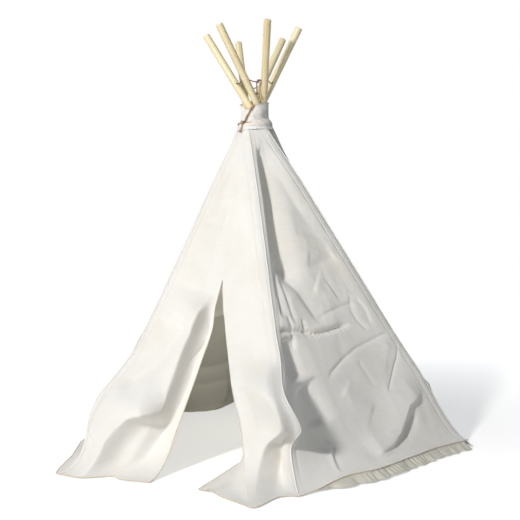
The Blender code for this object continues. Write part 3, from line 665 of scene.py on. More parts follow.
# Swells of loose cloth round a pole's seam: the way out in degrees, how far, its height, how far it reaches
# up and down, and along the cloth to the left and right of the seam
swellSet = [
    ("front_left", -142, 0.064, 0.195, 0.13, 0.15, 0.28, 0.16),
    ("front_right", -22, 0.062, 0.180, 0.10, 0.042, 0.12, 0.040),
    ("front_right", -74, 0.135, 0.278, 0.052, 0.100, 0.13, 0.050),
    ("front_right", -60, 0.022, 0.375, 0.060, 0.060, 0.05, 0.035),
    ("right", -8, 0.006, 0.26, 0.10, 0.08, 0.10, 0.10),
    ("back_right", 38, 0.045, 0.24, 0.16, 0.10, 0.14, 0.12),
    ("back_left", 128, 0.040, 0.20, 0.12, 0.06, 0.10, 0.08),
    ("left", 176, 0.018, 0.33, 0.14, 0.12, 0.12, 0.12),
]

# Each row's height where it stands, and how far it has turned out towards the floor: 0 upright, 1 lying
rowHeights = np.concatenate([
    np.linspace(cs["coverTop"], cs["doorTop"], cs["topRows"] + 1),
    np.linspace(cs["doorTop"], cs["hemBend"], cs["doorRows"] + 1)[1:],
    np.full(cs["hemRows"], cs["hemBend"]),
])
rowBends = np.concatenate([np.zeros(cs["topRows"] + cs["doorRows"] + 1),
                           np.linspace(0, 1, cs["hemRows"] + 1)[1:]])


# Distance from the centre line to the cover's corner: the slanted poles' own, plus their sleeve.
def coverRadius(height):
    close = ease(1 - (crossingHeight - height) / cs["neckFrom"])
    out = cs["ridgeOut"] + (cs["neckRidgeOut"] - cs["ridgeOut"]) * np.minimum(close * 2, 1)
    return np.hypot(waistRadius, (crossingHeight - height) * tan(tilt)) + out


# The corners turn a little round the centre line near the neck, as the slanting poles do.
def coverTurn(height):
    return -np.arctan2(waistRadius, (crossingHeight - height) * tan(tilt))


# The level direction in which a side faces.
def sideWay(side):
    return levelWay(frontAngle + side * stepAngle)


# The level direction along a side, from the pole of the half asked for to the side's other pole.
def sideTangent(side, half=0):
    return levelWay(frontAngle + side * stepAngle + pi / 2) * (-1 if half else 1)


# Distance to a line of straight stretches, positive on its left hand, and the share of its length.
def lineDistance(line, x, z):
    runs = [hypot(bx - ax, bz - az) for (ax, az), (bx, bz) in zip(line, line[1:])]
    nearest, hand, share = np.full(np.shape(x), 1e3), np.ones(np.shape(x)), np.zeros(np.shape(x))
    start = 0.0
    for (ax, az), (bx, bz), run in zip(line, line[1:], runs):
        wayX, wayZ = (bx - ax) / run, (bz - az) / run
        along = np.clip((x - ax) * wayX + (z - az) * wayZ, 0, run)
        offX, offZ = x - ax - along * wayX, z - az - along * wayZ
        off = np.hypot(offX, offZ)
        closer = off < nearest
        nearest = np.where(closer, off, nearest)
        hand = np.where(closer, np.where(wayX * offZ - wayZ * offX < 0, -1.0, 1.0), hand)
        share = np.where(closer, (start + along) / sum(runs), share)
        start += run
    return nearest * hand, share


# Sum of the side's folds: rise times a bell of the distance from the line, faded at the line's ends.
# A puckered fold also carries short ridges across it, a cosine of the way along it.
def foldSum(side, x, z):
    total = np.zeros(np.shape(x))
    for line, rise, rightWidth, leftWidth, crisp, *pucker in foldSet[sideNames[side]]:
        places = [((u - 0.5) * float(coverRadius(share * crossingHeight)), share * crossingHeight)
                  for u, share in line]
        off, share = lineDistance(places, x, z)
        near = np.abs(off) / np.where(off < 0, rightWidth, leftWidth)
        fade = ease(share / cs["foldEnd"]) * ease((1 - share) / cs["foldEnd"])
        total = total + rise * fade * ((1 - crisp) * bell(near) + crisp * np.exp(-1.6 * near))
        if pucker:
            ripple = np.cos(x / cs["puckerPitch"] + 2.4 * softNoise(x, z, 0.03, 41))
            total = total + pucker[0] * cs["pucker"] * ripple * fade * bell(off, cs["puckerWidth"])
    return total


# Fine unevenness of washed canvas: soft waves, drag lines down the cloth and crushed creases.
def wrinkles(side, x, z):
    x = x + 3.1 * side
    bent = x + 0.03 * softNoise(x, z, 0.2, 15)
    waves = cs["wave"] * softNoise(bent, z, 0.17, 11)
    waves = waves + cs["smallWave"] * softNoise(bent + 0.5 * z, z - 0.3 * x, 0.075, 12)
    drag = cs["drag"] * softNoise(bent * 2.2, z * 0.45, 0.06, 13)
    crush = cs["crush"] * crumple(bent, z, 0.12, 14) * ease(0.55 + softNoise(x, z, 0.3, 18))
    fine = cs["fineCrush"] * crumple(bent, z, 0.035, 16) * ease(0.4 + softNoise(x, z, 0.2, 19))
    return waves + drag + crush + fine


# Outward move of the cloth: sag, folds and wrinkles. A fold fades out at the seams, sooner if it goes
# inward, where the pole's sleeve is; the seam itself is a narrow groove.
def foldOut(side, across, height):
    radius = coverRadius(height)
    x = (across - 0.5) * radius
    edge = np.minimum(across, 1 - across) * radius
    total = foldSum(side, x, height)
    window = np.where(total > 0, ease(edge / 0.035), ease((edge - 0.018) / 0.03))
    sag = -cs["sag"] * np.sin(pi * across) * ease((edge - cs["flatWidth"]) / 0.06)
    sag = sag * ease((cs["coverTop"] - height) / cs["sagFade"])
    neck = ease((cs["coverTop"] - height) / cs["foldFade"])
    fine = wrinkles(side, x, height) * ease((edge - 0.006) / 0.03)
    groove = -cs["groove"] * bell(edge - cs["flatWidth"], cs["grooveWidth"])
    return sag + (total * window + fine + groove) * neck


# Moves the cloth about a pole's seam: a bell in height and along the cloth, out in the swell's own way.
def swellOut(side, across, height):
    move = np.zeros(np.shape(across) + (3,))
    radius = coverRadius(height)
    runs = {poleNames[side]: across * radius, poleNames[(side + 1) % sideCount]: (across - 1) * radius}
    for corner, degrees, amount, middle, up, down, left, right in swellSet:
        if corner in runs:
            run, rise = runs[corner], height - middle
            swell = bell(rise, np.where(rise > 0, up, down)) * bell(run, np.where(run < 0, left, right))
            move = move + amount * swell[..., None] * levelWay(radians(degrees))
    return move


# How far the hem lies out over the floor: eased from corner to corner, with bell-shaped tips.
def hemSpread(side, across):
    ends = [cs["cornerReach"] + cornerShares[(side + k) % sideCount] * (cs["hemReach"] - cs["cornerReach"])
            for k in (0, 1)]
    spread = ends[0] + (ends[1] - ends[0]) * ease(across)
    for middle, width, share in tipSet[sideNames[side]]:
        spread = spread + share * cs["tipReach"] * bell(across - middle, width)
    return spread


# The right front side rises above the floor, over its gathered skirt.
def hemLift(side, across):
    if sideNames[side] != "right_front":
        return np.zeros_like(across)
    return cs["skirtHeight"] * ease(across / cs["liftShare"])


# Outer skin of one side: straight between its corners, rounded over the poles, folded and hemmed.
def coverPoints(side, across, height, bend, inner=0.0):
    lift = hemLift(side, across)
    raised = lift / cs["skirtHeight"]
    flare = hemSpread(side, across) * (1 - np.cos(bend * pi / 2))
    lie = bend * bend * (1 - raised)
    z = height - (cs["hemBend"] - cs["floorGap"] - lift) * np.sin(bend * pi / 2)
    radius = coverRadius(z) + flare
    start = frontAngle + (side - 0.5) * stepAngle + coverTurn(z)
    first, last = polar(radius, start, z), polar(radius, start + stepAngle, z)
    points = first + (last - first) * across[..., None]
    normal = sideWay(side)
    along = unit(last - first)
    curve = cs["seamRound"]
    reach = curve * tan(stepAngle / 2)
    for share, sign in ((across, 1.0), (1 - across, -1.0)):
        distance = share * radius
        angle = np.clip(1 - distance / reach, 0, 1) * stepAngle / 2
        shift = np.where(distance < reach, reach - distance - curve * np.sin(angle), 0.0)
        points = points + along * (sign * shift)[..., None] + normal * (curve * (np.cos(angle) - 1))[..., None]
    points = points + normal * (foldOut(side, across, z) * (1 - lie) - inner)[..., None]
    points = points + swellOut(side, across, z) * (1 - 0.6 * lie)[..., None]
    x = across * radius
    gathers = cs["gatherRise"] * np.sin(x / cs["gatherPitch"] + 5 * softNoise(x, z, 0.03, 23))
    gathers = gathers * raised * ease(bend * 2 - 0.8) * ease(softNoise(x, 0 * z, 0.05, 24) + 0.4)
    points = points + normal * gathers[..., None]
    ripple = cs["floorRipple"] * (softNoise(x, np.full_like(across, side * 1.7), 0.035, 21) + 1) * lie
    points[..., 2] = z + ripple
    return points


# Where the front panel ends and the flap begins, as a share across the front.
def hingeShare(doorSide, low):
    fall = np.maximum(cs["doorTop"] - low, 0.0) / cs["doorTop"]
    foot = cs["leftHinge"] if doorSide == "left" else cs["rightHinge"]
    return cs["slit"] + (foot - cs["slit"]) * fall


# Flat coordinates of a grid in metres: lengths run along one column and out from it along the rows.
def clothUv(points, middle=None):
    middle = points.shape[1] // 2 if middle is None else middle
    u, v = runAlong(points), runAlong(points[:, middle])
    return np.stack([u - u[:, middle, None], np.broadcast_to(-v[:, None], u.shape)], -1)


# Flat size of a cloth piece: the lengths of its longest row and column are worked out, and not kept.
def declareSheet(points):
    wide, long = [float(runAlong(grid)[:, -1].max()) for grid in (points, points.swapaxes(0, 1))]


# Unit normals of a grid, from the cross product of its two gradients.
def gridNormals(points, flip=True, closed=False):
    down, wide = np.gradient(points, axis=0), np.gradient(points, axis=1)
    if closed:
        wide[:, 0] = wide[:, -1] = (points[:, 1] - points[:, -2]) / 2
    return unit(np.cross(down, wide) * (1 if flip else -1))


# A cloth piece from a grid of points: an outer skin, an inner one a thickness behind it, and a rim.
def clothGrid(name, points, flip=True, normals=None, middle=None):
    rows, columns = points.shape[:2]
    count = rows * columns
    normals = gridNormals(points, flip) if normals is None else normals
    both = np.concatenate([points.reshape(-1, 3), (points - normals * cs["thickness"]).reshape(-1, 3)])
    outer = gridFaces(rows, columns, flip=flip)
    index = np.arange(count).reshape(rows, columns)
    loop = np.concatenate([index[0], index[1:, -1], index[-1, -2::-1], index[-2::-1, 0]])
    rim = np.stack([loop[:-1], loop[1:], loop[1:] + count, loop[:-1] + count], -1)
    faces = np.concatenate([outer, outer[:, ::-1] + count, rim if flip else rim[:, ::-1]])
    uv = clothUv(points, middle).reshape(-1, 2)
    piece = shapeMesh(name, both, faces, np.concatenate([uv, uv]))
    kept = np.concatenate([normals.reshape(-1, 3), -normals.reshape(-1, 3)])[faces.ravel()]
    kept[2 * len(outer) * 4:] = 0                   # the rim keeps its own
    piece.data.normals_split_custom_set(kept)
    return piece


# Gives the piece its own copy of its mesh; the way along the cloth, square to the pole, is worked out but not used.
def followFold(piece, index, toward):
    across = np.asarray(toward, float)
    across = unit(across - poleWays[index] * (across @ poleWays[index]))
    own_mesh(piece)


# Shares across, heights and bends of the grid of a half side; the door cuts the front's.
def panelGrid(side, half):
    name = sideNames[side]
    low = rowHeights - rowBends * cs["hemBend"]
    middle = np.full(len(rowHeights), 0.5)
    if name == "front":
        middle = hingeShare("right" if half else "left", low)
    t = np.linspace(0, 1, (cs["fineColumns"] if name == "right_front" else cs["columns"]) + 1)
    across = middle[:, None] + (1 - middle[:, None]) * t if half else middle[:, None] * t
    height = np.broadcast_to(rowHeights[:, None], across.shape)
    bend = np.broadcast_to(rowBends[:, None], across.shape)
    return across, height, bend


# seams, hems and stitches

# Lengths in metres; the seam row is counted in from the cloth's edge
sewSet = dict(pitch=0.0052, length=0.0034, thread=0.00045, lift=0.0004, hemRadius=0.0017, rollStep=0.004,
              seamRow=4, pipingRadius=0.0019, pipingOut=0.0012, pipingShift=0.005, pipingSway=0.0012, pipingTop=4)


# Threads along a line on cloth: spindles of two tips and two rings of five, one at each pitch.
def stitchRow(path, normals):
    run = runAlong(path)
    at = np.arange(sewSet["pitch"], run[-1] - sewSet["pitch"], sewSet["pitch"])
    middle, up, way = [readAlong(at, run, values) for values in (path, normals, np.gradient(path, axis=0))]
    up, way = unit(up), unit(way)
    side = np.cross(way, up)
    half, thread, turn = sewSet["length"] / 2, sewSet["thread"], turnsOf(5)
    tips = [[[station, 0, -thread * 0.8]] for station in (-half, half)]
    rings = [np.stack([np.full(5, station), thread * np.sin(turn), thread * np.cos(turn)], -1)
             for station in (-half / 2, half / 2)]
    spindle = np.concatenate(tips + rings)
    points = (middle + up * sewSet["lift"])[:, None] + spindle[:, :1] * way[:, None]
    points = points + spindle[:, 1:2] * side[:, None] + spindle[:, 2:] * up[:, None]
    k = np.arange(5)
    n = (k + 1) % 5
    tris = np.concatenate([np.stack(corners, -1) for corners in (
        (0 * k, 2 + n, 2 + k), (0 * k + 1, 7 + k, 7 + n), (2 + k, 2 + n, 7 + n), (2 + k, 7 + n, 7 + k))])
    faces = tris + len(spindle) * np.arange(len(at))[:, None, None]
    return points.reshape(-1, 3), faces.reshape(-1, 3)


# A thin round roll along a line; if no radius is given, the cloth's edge turned under and sewn.
def hemRoll(path, name, radius=sewSet["hemRadius"], sides=7):
    points, tris = cappedTube(evenPath(path, sewSet["rollStep"]), radius, sides)
    return shapeMesh(name, points, tris, thinUv(points))


# The stitching of a half side: one row beside its pole's seam and one above its hem.
def sewPanel(side, half, label, points, normals):
    index = (side + half) % sideCount
    fromPole = slice(None, None, -1 if half else 1)
    rows, seam = points[:, fromPole], -sewSet["seamRow"]
    beside = np.stack([readAlong(cs["flatWidth"], run, row) for run, row in zip(runAlong(rows), rows)])
    stitches = shapeMesh("panelStitches_" + label, *joined([
        stitchRow(beside[1:], normals[1:, fromPole][:, 2]), stitchRow(points[seam], normals[seam])]))
    roll = hemRoll(points[-1], "panelHem_" + label)
    for piece, material in ((stitches, threadMaterial), (roll, edgeCanvas)):
        dress(piece, material, "leg_" + poleNames[index], "canvas")
        followFold(piece, index, sideTangent(side, half))


def makePanels():
    for side, name in enumerate(sideNames):
        for half in (0, 1):
            index = (side + half) % sideCount
            across, height, bend = panelGrid(side, half)
            points = coverPoints(side, across, height, bend)
            normals = gridNormals(points)
            middle = 0 if half else -1              # both halves share their normals where they meet
            near = [coverPoints(side, across[:, middle] + step, height[:, 0], bend[:, 0])
                    for step in (-cs["meetStep"], cs["meetStep"])]
            normals[:, middle] = unit(np.cross(np.gradient(points[:, middle], axis=0), near[1] - near[0]))
            label = f"{name}_{half + 1}"
            piece = clothGrid("coverPanel_" + label, points, True, normals, middle)
            dress(piece, canvas, "leg_" + poleNames[index], "canvas", "panel_" + label)
            declareSheet(points)
            followFold(piece, index, sideTangent(side, half))
            sewPanel(side, half, label, points, normals)


# The folded seam that stands proud along each pole, just to the right of the cover's corner.
def makePiping():
    share = sewSet["pipingShift"] / coverRadius(rowHeights - rowBends * cs["hemBend"])
    for index, name in enumerate(poleNames):
        out = unit(sideWay(index) + 0.5 * sideWay(index - 1)) * sewSet["pipingOut"]
        sway = sewSet["pipingSway"] * softNoise(rowHeights * 3 - rowBends, 0 * rowHeights + index, 0.09, 51)
        path = coverPoints(index, share, rowHeights, rowBends) + out + sideTangent(index) * sway[:, None]
        piece = hemRoll(path[sewSet["pipingTop"]:], "seamPiping_" + name, sewSet["pipingRadius"], 9)
        dress(piece, pipingCanvasPaintedHighlight, "leg_" + name, "canvas")


makePanels()
makePiping()
print("the cover's six sides are sewn")


# door flaps

# Lengths in metres; the right flap's own are where its free edge stands and lies, and its creases and ridge
flapSet = dict(shift=0.006, columns=46, clothGap=0.003, bulge=0.03, edgeX=0.075, floorY=0.36, tipY=0.765,
               crease=0.006, sharpCrease=0.0025, dent=0.006, dentWidth=0.03,
               dentLine=[(0.10, 0.42), (0.16, 0.30), (0.15, 0.20)],
               lie=0.003, rumple=0.006, ridge=0.014, ridgeWidth=0.02)


# From the fold line to the free edge on the cover's own folded surface, moved out at its edge.
def leftFlap(t, height, bend):
    low = height - bend * cs["hemBend"]
    fall = (cs["doorTop"] - low) / cs["doorTop"]
    start = hingeShare("left", low)
    end = cs["slit"] + (cs["leftEdge"] - cs["slit"] - cs["leftEdgeBow"]) * fall + cs["leftEdgeBow"] * fall ** 6
    points = coverPoints(0, start + (end - start) * t, height, bend)
    return points + sideWay(0) * (flapSet["shift"] * t * fall * (1 - bend))[..., None]


# A ruled sheet from the fold line to a free edge that hangs straight, then lies out on the floor,
# with a bulge and soft creases that vanish at both edges.
def rightFlap(t, height, bend):
    low = height - bend * cs["hemBend"]
    fall = (cs["doorTop"] - height) / (cs["doorTop"] - cs["hemBend"])
    hinge = coverPoints(0, hingeShare("right", low), height, bend)
    slit = coverPoints(0, np.array(cs["slit"]), np.array(cs["doorTop"]), np.array(0.0), flapSet["clothGap"])
    floorPoint = np.array([flapSet["edgeX"], -flapSet["floorY"], 0.0005])
    edge = slit + (floorPoint - slit) * fall[..., None]
    edge[..., 1] += (flapSet["floorY"] - flapSet["tipY"]) * bend
    points = hinge + (edge - hinge) * t[..., None]
    x, z, arch = points[..., 0] - 0.4 * points[..., 1], points[..., 2], np.sin(pi * t)
    crease = flapSet["crease"] * softNoise(x, z, 0.13, 31) + flapSet["sharpCrease"] * crumple(x, z, 0.10, 32)
    crease = crease - flapSet["dent"] * bell(lineDistance(flapSet["dentLine"], x, z)[0], flapSet["dentWidth"])
    out = (flapSet["bulge"] * np.sin(pi * fall / 2) + crease) * arch * (1 - bend)
    points = points + sideWay(0) * out[..., None]
    x, y = points[..., 0], points[..., 1]
    lying = (flapSet["lie"] + flapSet["rumple"] * (1 + softNoise(x, y, 0.055, 33))) * bend ** 0.5
    ridge = flapSet["ridge"] * bell(x - 0.16 - 0.3 * (y + 0.7), flapSet["ridgeWidth"]) * bend
    points[..., 2] += t * (lying * arch + flapSet["clothGap"] * 0.6) + ridge * arch
    return points


def makeFlaps():
    t, seam = np.linspace(0, 1, flapSet["columns"] + 1), -sewSet["seamRow"]
    height, bend = rowHeights[cs["topRows"]:, None], rowBends[cs["topRows"]:, None]      # from the slit's top down
    for index, (doorSide, shape) in enumerate((("left", leftFlap), ("right", rightFlap))):
        points = shape(*np.broadcast_arrays(t, height, bend))
        flip = doorSide == "left"
        piece = clothGrid("doorFlap_" + doorSide, points, flip)
        dress(piece, canvas, "flap_" + doorSide, "canvas", "door_flap_" + doorSide)
        declareSheet(points)
        normals = gridNormals(points, flip)
        stitches = shapeMesh("flapStitches_" + doorSide, *joined([
            stitchRow(points[2:, seam], normals[2:, seam]), stitchRow(points[seam, 2:seam], normals[seam, 2:seam])]))
        roll = hemRoll(np.concatenate([points[1:, -1], points[-1, -2::-1]]), "flapHem_" + doorSide)
        for extra, material in ((stitches, threadMaterial), (roll, edgeCanvas)):
            dress(extra, material, "flap_" + doorSide, "canvas")
        for each in (piece, stitches, roll):
            followFold(each, index, sideTangent(0, index))


makeFlaps()
print("the door flaps hang")


# gathered skirt

# Shares across the side, lengths in metres and counts of the grid
skirtSet = dict(start=1 / 12, end=0.97, sideWidth=0.77, reach=0.040, plain=0.26, rows=16, columns=520,
                gather=0.019, topRise=0.0010, footRise=0.0075, drop=0.0006, edgeRadius=0.0011, seamRow=3, seamEnd=4)


# A strip from under the hem down and out to the floor. Gathers are a sine along the strip whose pitch
# wanders and whose height grows downwards; at its left end the strip lies back under the hem.
def skirtPoints(half):
    ends = [skirtSet["start"], 0.5, skirtSet["end"]][half:half + 2]
    across = np.linspace(*ends, skirtSet["columns"] + 1)
    hem = coverPoints(1, across, np.full_like(across, cs["hemBend"]), np.ones_like(across), 0.0009)
    down = np.linspace(0, 1, skirtSet["rows"] + 1)[:, None]
    x = across * skirtSet["sideWidth"]
    reach = skirtSet["reach"] * ease((across - skirtSet["start"]) / 0.14)
    lean = x + 0.010 * down * softNoise(x, 0 * x, 0.05, 64)
    phase = 2 * pi * lean / skirtSet["gather"] + 5.0 * softNoise(lean, 0 * lean, 0.06, 61)
    uneven = 0.65 + 0.6 * softNoise(lean, down * 0.01, 0.035, 62)
    slow = 1.5 * softNoise(lean, down * 0.02, 0.022, 63) * down
    wave = np.sin(phase) * (1 - 0.55 * down) * uneven * ease((across - skirtSet["plain"]) / 0.06)
    wave = wave * (1 - 0.55 * ease((across - 0.55) / 0.25))
    rise = skirtSet["topRise"] + (skirtSet["footRise"] - skirtSet["topRise"]) * down
    push = reach * (0.35 * down + 0.65 * down ** 2) + rise * (0.5 * wave + 0.6 * slow)
    points = hem + sideWay(1) * push[..., None]
    floor = 0.0026 + 0.003 * (1 + softNoise(x, 0 * x, 0.03, 65))
    slump = down ** 1.25
    level = (hem[:, 2] - skirtSet["drop"]) * (1 - slump) + floor * slump
    points[..., 2] = level + 0.35 * rise * (wave + slow) * np.sin(pi * down)
    return points


def makeSkirt():
    seam, inside = skirtSet["seamRow"], slice(skirtSet["seamEnd"], -skirtSet["seamEnd"])
    for half in (0, 1):
        points, index = skirtPoints(half), 1 + half
        piece = clothGrid(f"gatheredSkirt_{half + 1}", points)
        dress(piece, hemCanvasPaintedShade, "leg_" + poleNames[index], "canvas", f"hem_skirt_{half + 1}")
        declareSheet(points)
        gathering = hemRoll(points[-1], f"skirtEdge_{half + 1}", skirtSet["edgeRadius"])
        stitches = shapeMesh(f"gatherStitches_{half + 1}",
                             *stitchRow(points[seam, inside], gridNormals(points)[seam, inside]))
        for extra, material in ((gathering, hemCanvasPaintedShade), (stitches, darkThread)):
            dress(extra, material, "leg_" + poleNames[index], "canvas")
        for each in (piece, gathering, stitches):
            followFold(each, index, sideTangent(1, half))


makeSkirt()
print("the skirt is gathered")


# pole sleeves

sleeveSet = dict(sides=36, step=0.006, wrinkle=0.0007, ring=0.0005, taper=0.0022, taperLength=0.16)


# A channel of canvas round each pole: the CAD tube's radius, drawn into small rings and drag lines.
def makeSleeves():
    turn = 2 * pi * np.arange(sleeveSet["sides"] + 1) / sleeveSet["sides"]
    for index, name in enumerate(poleNames):
        local = nodeLocal("pole_sleeve_", index)
        low, high = local[:, 2].min(), local[:, 2].max()
        length = np.linspace(high, low, int((high - low) / sleeveSet["step"]) + 1)[:, None]
        laid = np.stack([np.cos(turn), np.sin(turn)], -1) * 0.03 + length[..., None] * [0.9, 0.4]
        rumple = softNoise(laid[..., 0], laid[..., 1] + length * 0.7, 0.018, 70 + index)
        radius = np.hypot(local[:, 0], local[:, 1]).max()
        radius = radius - sleeveSet["taper"] * ease(1 + (length - high) / sleeveSet["taperLength"])
        size = radius + sleeveSet["wrinkle"] * (rumple - 0.6)
        size = size + sleeveSet["ring"] * crumple(length + 0 * turn, turn * radius, 0.05, 80)
        ring = np.cos(turn)[:, None] * acrossWays[index] + np.sin(turn)[:, None] * hinges[index]
        points = waists[index] + size[..., None] * ring + length[..., None] * poleWays[index]
        points[:, -1] = points[:, 0]
        piece = clothGrid("poleSleeve_" + name, points, True, gridNormals(points, closed=True))
        dress(piece, sleeveCanvas, "leg_" + name, "sleeve_canvas", "pole_sleeve_" + name)
        declareSheet(points)


makeSleeves()
print("the pole sleeves are on")


# neck

# Angles in radians round the centre line, lengths in metres, counts of the grids
neckSet = dict(angles=360, rows=64, lowEdge=1.185, folds=9, clear=0.0018,
               dipAngle=-1.65, dipWidth=0.85, dip=0.030, edgeAngle=-1.12, edgeOut=0.0115,
               lobeAngle=-0.35, lobeWidth=0.9, lobeOut=0.0055, foldOut=0.0042, broadOut=0.0032, creaseOut=0.0006,
               bandHeight=0.0105, bandDepth=0.0042, bandPlace=1.2075, bandSlant=0.0055, bandSink=0.0012,
               bandSteps=300, bandSides=28, bandTwists=7, hemRadius=0.0013)

collarTop = float(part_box("neck_collar")[1].z)


# The farthest that a slanted pole's oval section reaches from the centre line at a height.
def polesReach(height):
    rise = np.abs(crossingHeight - np.asarray(height)) * tan(tilt)
    wide = poleSet["radius"] / cos(tilt)
    return np.max([np.hypot(rise + wide * cos(a), waistRadius + poleSet["radius"] * sin(a))
                   for a in np.linspace(0, 2 * pi, 73)], axis=0)


# The same angle, within half a turn of nought.
def wrapped(angle):
    return np.angle(np.exp(1j * angle))


# A bell of the angle from a direction.
def around(angle, middle, width):
    return bell(wrapped(angle - middle), width)


# Soft noise round the neck: the angle is laid out as a circle, so that it closes.
def ringNoise(angle, height, pitch, seed):
    return softNoise(np.cos(angle) * 0.06 + height * 0.35, np.sin(angle) * 0.06 - height * 0.2, pitch, seed)


# The band lies a little lower at the front left than at the back right.
def bandHeightAt(angle):
    lean = neckSet["bandSlant"] * np.cos(angle - cameraSet["azimuth"])
    return neckSet["bandPlace"] + lean + 0.0012 * np.sin(3 * angle + 1)


# How far out the band's middle line is: a little inside the cover's corners.
def bandReachAt(angle):
    return coverRadius(bandHeightAt(angle)) - neckSet["bandSink"]


# Canvas drawn in round the poles: their farthest reach, with broad slanting folds of uneven depth. The
# top edge dips at the front left, where the poles come out over it, and stands out at the right. The wrap's
# outer edge is a step whose right hand is in its own shade.
def collarShape(angle, down):
    lobe = around(angle, neckSet["lobeAngle"], neckSet["lobeWidth"])
    dip = neckSet["dip"] * around(angle, neckSet["dipAngle"], neckSet["dipWidth"])
    top = collarTop - 0.002 - dip + 0.0025 * ringNoise(angle, 0 * angle, 0.03, 91)
    height = top + (neckSet["lowEdge"] - top) * down
    wander = angle + 3.5 * (height - crossingHeight) + 0.5 * ringNoise(angle, height, 0.05, 92)
    uneven = 0.6 + 0.5 * ringNoise(angle, 0 * height, 0.04, 93)
    fold = (0.5 + 0.5 * np.sin(wander * neckSet["folds"])) ** 1.5 * uneven
    broad = 0.5 + 0.5 * ringNoise(wander, height, 0.045, 94)
    above = ease((height - bandHeightAt(angle) - 0.008) / 0.03)
    turned = wrapped(angle - neckSet["edgeAngle"] - 5 * (height - crossingHeight))
    edge = bell(np.minimum(turned, 0), 0.55) * np.clip(1 - turned / 0.95, 0, 1)
    reach = polesReach(height) + neckSet["clear"]
    reach = reach + neckSet["foldOut"] * fold * (0.35 + 0.65 * above) * (1 - 0.65 * lobe)
    reach = reach + neckSet["broadOut"] * broad * above
    reach = reach + neckSet["lobeOut"] * lobe * above * np.sin(pi * np.clip((top - height) / 0.06, 0, 1))
    reach = reach + neckSet["edgeOut"] * edge * above
    reach = reach + neckSet["creaseOut"] * crumple(angle * 0.055, height, 0.02, 95)
    return polar(reach, angle, height)


def makeCollar():
    angle, down = np.broadcast_arrays(np.linspace(0, 2 * pi, neckSet["angles"] + 1),
                                      np.linspace(0, 1, neckSet["rows"] + 1)[:, None])
    points = collarShape(angle, down)
    points[:, -1] = points[:, 0]
    piece = clothGrid("neckCollar", points, True, gridNormals(points, closed=True))
    dress(piece, canvas, "root", "canvas", "neck_collar")
    declareSheet(points)
    dress(hemRoll(points[0], "collarHem", neckSet["hemRadius"]), hemCanvasPaintedShade, "root", "canvas")


# A strip of canvas rolled and twisted round the neck: an oval section whose skin has slanting folds.
def makeBand():
    steps, sides = neckSet["bandSteps"], neckSet["bandSides"]
    angle, turn = turnsOf(steps)[:, None], turnsOf(sides)
    twist = neckSet["bandTwists"] * angle + turn
    skin = 1 + 0.09 * np.sin(2 * twist + 1.5 * np.sin(angle)) + 0.05 * np.sin(5 * twist + 1.0)
    rise = neckSet["bandHeight"] * np.sin(turn) * skin * (1 + 0.14 * np.sin(2 * angle + 2.0))
    reach = bandReachAt(angle) + neckSet["bandDepth"] * (np.cos(turn) * skin - 0.1) - 0.35 * rise
    points = polar(reach, angle, bandHeightAt(angle) + rise)
    faces = gridFaces(steps + 1, sides, closed=True) % (steps * sides)          # the last row joins the first
    uv = np.stack(np.broadcast_arrays(angle * 0.07, turn * 0.008), -1)
    piece = shapeMesh("neckBand", points, faces[:, ::-1], uv)
    dress(piece, bandCanvas, "root", "canvas", "neck_band")


ropeSet = dict(strands=3, sides=9, stepsEachLay=16, strandShare=0.50)


# Laid rope: strands as helices round the path, each a round tube, one turn for each length of lay.
def ropeAlong(path, radius, lay, phase=0.0):
    path = evenPath(path, lay / ropeSet["stepsEachLay"])
    _, side, other = tubeAlong(path, radius, 3)
    run, sides, thick = runAlong(path), ropeSet["sides"], radius * ropeSet["strandShare"]
    shapes = []
    for k in range(ropeSet["strands"]):
        turn = (2 * pi * (run / lay + k / ropeSet["strands"]) + phase)[:, None]
        strand = cappedTube(path + (radius - thick) * (side * np.cos(turn) + other * np.sin(turn)), thick, sides)
        uv = np.stack([np.tile(turnsOf(sides) * thick, len(run)), np.repeat(run, sides)], -1)
        shapes.append((*strand, np.concatenate([uv, [[0, run[0]], [0, run[-1]]]])))
    return joined(shapes)


# An overhand knot: the curve (sin t + 2 sin 2t, cos t - 2 cos 2t, -sin 3t), drawn small. Its second axis is up.
def knotShape(place, side, size, radius):
    side, up = unit(side), np.array([0.0, 0.0, 1.0])
    t = 2 * pi * np.arange(62)[:, None] / 60
    curve = (np.sin(t) + 2 * np.sin(2 * t)) * side + (np.cos(t) - 2 * np.cos(2 * t)) * up
    points, tris = cappedTube(place + size / 3 * (curve - np.sin(3 * t) * np.cross(up, side)), radius, 9)
    return points, tris, thinUv(points)


tieSet = dict(radius=0.0027, lay=0.013, startAngle=-1.95, tail=0.032, knot=0.0068, knotOut=0.0035, endTurn=0.62,
              endsApart=0.12, endDip=0.010, buryAngle=-0.45, buryWidth=0.95, bury=3.0, burySink=0.011)


# The collar's reach in the direction and at the height asked for, found along its own rows.
def collarSkin(angle, height):
    top = collarShape(angle, 0 * angle)[..., 2]
    place = collarShape(angle, np.clip((top - height) / (top - neckSet["lowEdge"]), 0, 1))
    return np.hypot(place[..., 0], place[..., 1])


# Just outside whatever the cord lies on: the collar, or the band where it passes over that.
def tieReach(angle, height):
    off = (height - bandHeightAt(angle)) / (neckSet["bandHeight"] + tieSet["radius"])
    over = np.sqrt(np.clip(1 - off * off, 0, 1))
    band = bandReachAt(angle) + (neckSet["bandDepth"] + tieSet["radius"]) * over
    return np.maximum(collarSkin(angle, height) + tieSet["radius"], np.where(np.abs(off) < 1, band, 0))


